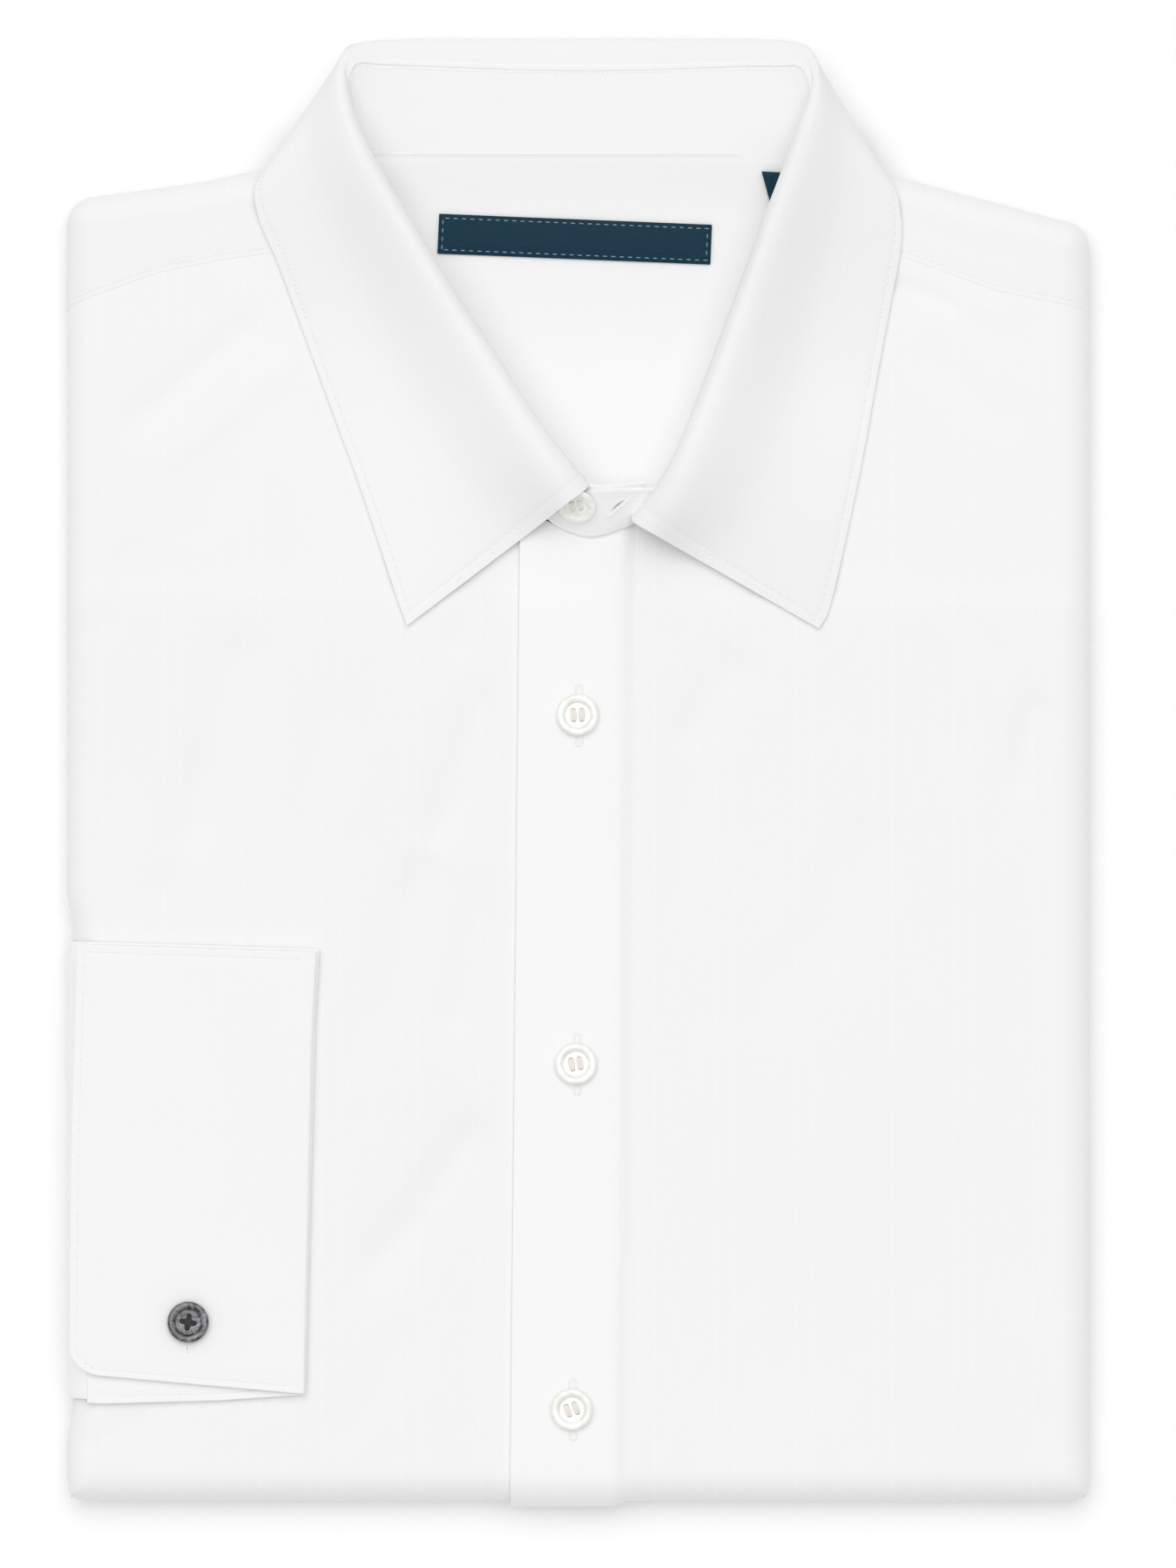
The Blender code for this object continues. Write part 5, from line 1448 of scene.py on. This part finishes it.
# Turned profile, as shares of the radius: radius, height.
BUTTON_PROFILE = (
    (0.0, 0.02), (0.55, 0.02), (0.80, 0.04), (0.92, 0.09), (0.985, 0.16), (1.0, 0.225),
    (0.985, 0.29), (0.945, 0.34), (0.89, 0.365), (0.82, 0.37), (0.75, 0.36), (0.69, 0.335),
    (0.65, 0.29), (0.625, 0.225), (0.595, 0.19), (0.53, 0.18), (0.3, 0.18), (0.0, 0.18),
)
BUTTON_STEPS = 48
HOLE_RADIUS = 0.13         # as shares of the button's radius
HOLE_SPREAD = 0.29
HOLE_TURNS = [math.pi / 4 + k * math.pi / 2 for k in range(4)]
THREAD_WIDTH = 0.17
THREAD_HEIGHT = 0.07
CUFF_BUTTON_TURN = math.radians(35)


def resin_finish(name, swirl, detail, twist, darker, paler, **even):
    """Cast resin with pigment in soft swirls, this large, between two colours; each colour goes
    with its place in the swirl.
    """
    finish, tree, shader = start_finish(name, IOR=1.56, **even)
    spot = add_node(tree, "ShaderNodeTexCoord").outputs["Object"]
    swirls = add_node(tree, "ShaderNodeTexNoise", {"Vector": spot, "Scale": 1.0 / (swirl * MM),
                                                   "Detail": detail, "Distortion": twist})
    ramp = add_node(tree, "ShaderNodeValToRGB", {"Fac": swirls.outputs[0]})
    for stop, (colour, place) in zip(ramp.color_ramp.elements, (darker, paler)):
        stop.position = place
        stop.color = linear(colour)
    tree.links.new(ramp.outputs["Color"], shader.inputs["Base Color"])
    return finish


# Pearl resin: cast polyester with pearl pigment under a clear gloss.
pearl = resin_finish("pearl_resin", 4.2, 1.0, 1.2, ("#EFF0E9", 0.34), ("#FDFEFA", 0.62),
                     Roughness=0.16, Coat_Weight=0.6, Coat_Roughness=0.06)
# Smoke resin: the same casting with dark grey pigment, with paler streaks and a duller gloss.
smoke = resin_finish("smoke_resin", 3.6, 3.0, 2.2, ("#161618", 0.36), ("#8C8A8E", 0.68),
                     Roughness=0.24, Coat_Weight=0.5, Coat_Roughness=0.12)
# Unbleached thread sews the pearl buttons, dark grey thread the cuff's.
cream_thread = thread_finish("cream_sewing_thread", 0.6, "#E8E2D9", "#F4F0EA", Roughness=0.6)
dark_thread = thread_finish("dark_sewing_thread", 0.6, "#161618", "#3A3A3E", Roughness=0.6)


def add_button(name, node, radius, place, finish, sewing, bars):
    """Turn a button, drill it and sew it on; place carries it from its own middle.  A bar of
    thread is given by its middle's x, as a share of the radius, and its turn.
    """
    bm = bmesh.new()
    points = [bm.verts.new((r * radius, 0.0, h * radius)) for r, h in BUTTON_PROFILE]
    edges = [bm.edges.new(pair) for pair in zip(points, points[1:])]
    bmesh.ops.spin(bm, geom=points + edges, cent=(0, 0, 0), axis=(0, 0, 1), dvec=(0, 0, 0),
                   angle=math.tau, steps=BUTTON_STEPS, use_merge=True, use_duplicate=False)
    bmesh.ops.remove_doubles(bm, verts=bm.verts, dist=0.001)
    bmesh.ops.transform(bm, matrix=place, verts=bm.verts)
    button = add_piece(name, bm, finish)
    drills = bmesh.new()
    for turn in HOLE_TURNS:
        spot = Vector((math.cos(turn), math.sin(turn), 0.2)) * HOLE_SPREAD * radius
        bmesh.ops.create_cone(drills, cap_ends=True, segments=20, radius1=HOLE_RADIUS * radius,
                              radius2=HOLE_RADIUS * radius, depth=2.0 * radius,
                              matrix=place @ Matrix.Translation(spot))
    drill = add_piece(name + "_drill", drills, finish)
    cut = button.modifiers.new("thread holes", "BOOLEAN")
    cut.operation = "DIFFERENCE"
    cut.object = drill
    bpy.context.view_layer.update()
    drilled = bpy.data.meshes.new_from_object(
        button.evaluated_get(bpy.context.evaluated_depsgraph_get()))
    button.modifiers.clear()
    button.data = drilled
    bpy.data.objects.remove(drill, do_unlink=True)
    drilled.set_sharp_from_angle(angle=math.radians(35))
    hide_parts(node)

    strands = bmesh.new()
    for turn in HOLE_TURNS:
        hole = place @ Matrix.Rotation(turn, 4, "Z") @ Matrix.Scale(radius, 4)
        hole = hole @ Matrix.Translation((HOLE_SPREAD, 0.0, 0.12))
        bmesh.ops.create_uvsphere(strands, u_segments=10, v_segments=6, radius=HOLE_RADIUS * 0.93,
                                  matrix=hole)
    for middle, turn in bars:
        reach = HOLE_SPREAD * (1.0 if middle == 0.0 else math.cos(math.pi / 4)) + 0.1
        size = Matrix.Diagonal((THREAD_WIDTH / 2, reach, THREAD_HEIGHT, 1.0))
        for shift in (-0.4, 0.4):
            spot = Matrix.Translation((middle + shift * THREAD_WIDTH, 0.0, 0.21))
            bmesh.ops.create_uvsphere(strands, u_segments=10, v_segments=6, radius=1.0, matrix=(
                place @ Matrix.Rotation(turn, 4, "Z") @ Matrix.Scale(radius, 4) @ spot @ size))
    add_piece(name + "_thread", strands, sewing)


side_bars = [(side * HOLE_SPREAD * math.cos(math.pi / 4), 0.0) for side in (-1, 1)]
cross_bars = [(0.0, math.pi / 4), (0.0, -math.pi / 4)]
for number, (x, y) in enumerate(SHIRT_BUTTONS, 1):
    turned = Matrix.Rotation(math.radians(-8 + 9 * number), 4, "Z")
    add_button(f"front_button_{number}", f"shirt_button_{number}", BUTTON_RADIUS,
               Matrix.Translation((x, y, placket_top + GAP)) @ turned, pearl,
               cream_thread, side_bars)
add_button("collar_front_button", "collar_button", COLLAR_BUTTON_RADIUS, collar_button_place, pearl,
           cream_thread, side_bars)
turned = Matrix.Rotation(CUFF_BUTTON_TURN, 4, "Z")
add_button("cuff_link_button", "cuff_button", BUTTON_RADIUS,
           Matrix.Translation((*CUFF_BUTTON, cuff_top + GAP)) @ turned, smoke,
           dark_thread, cross_bars)
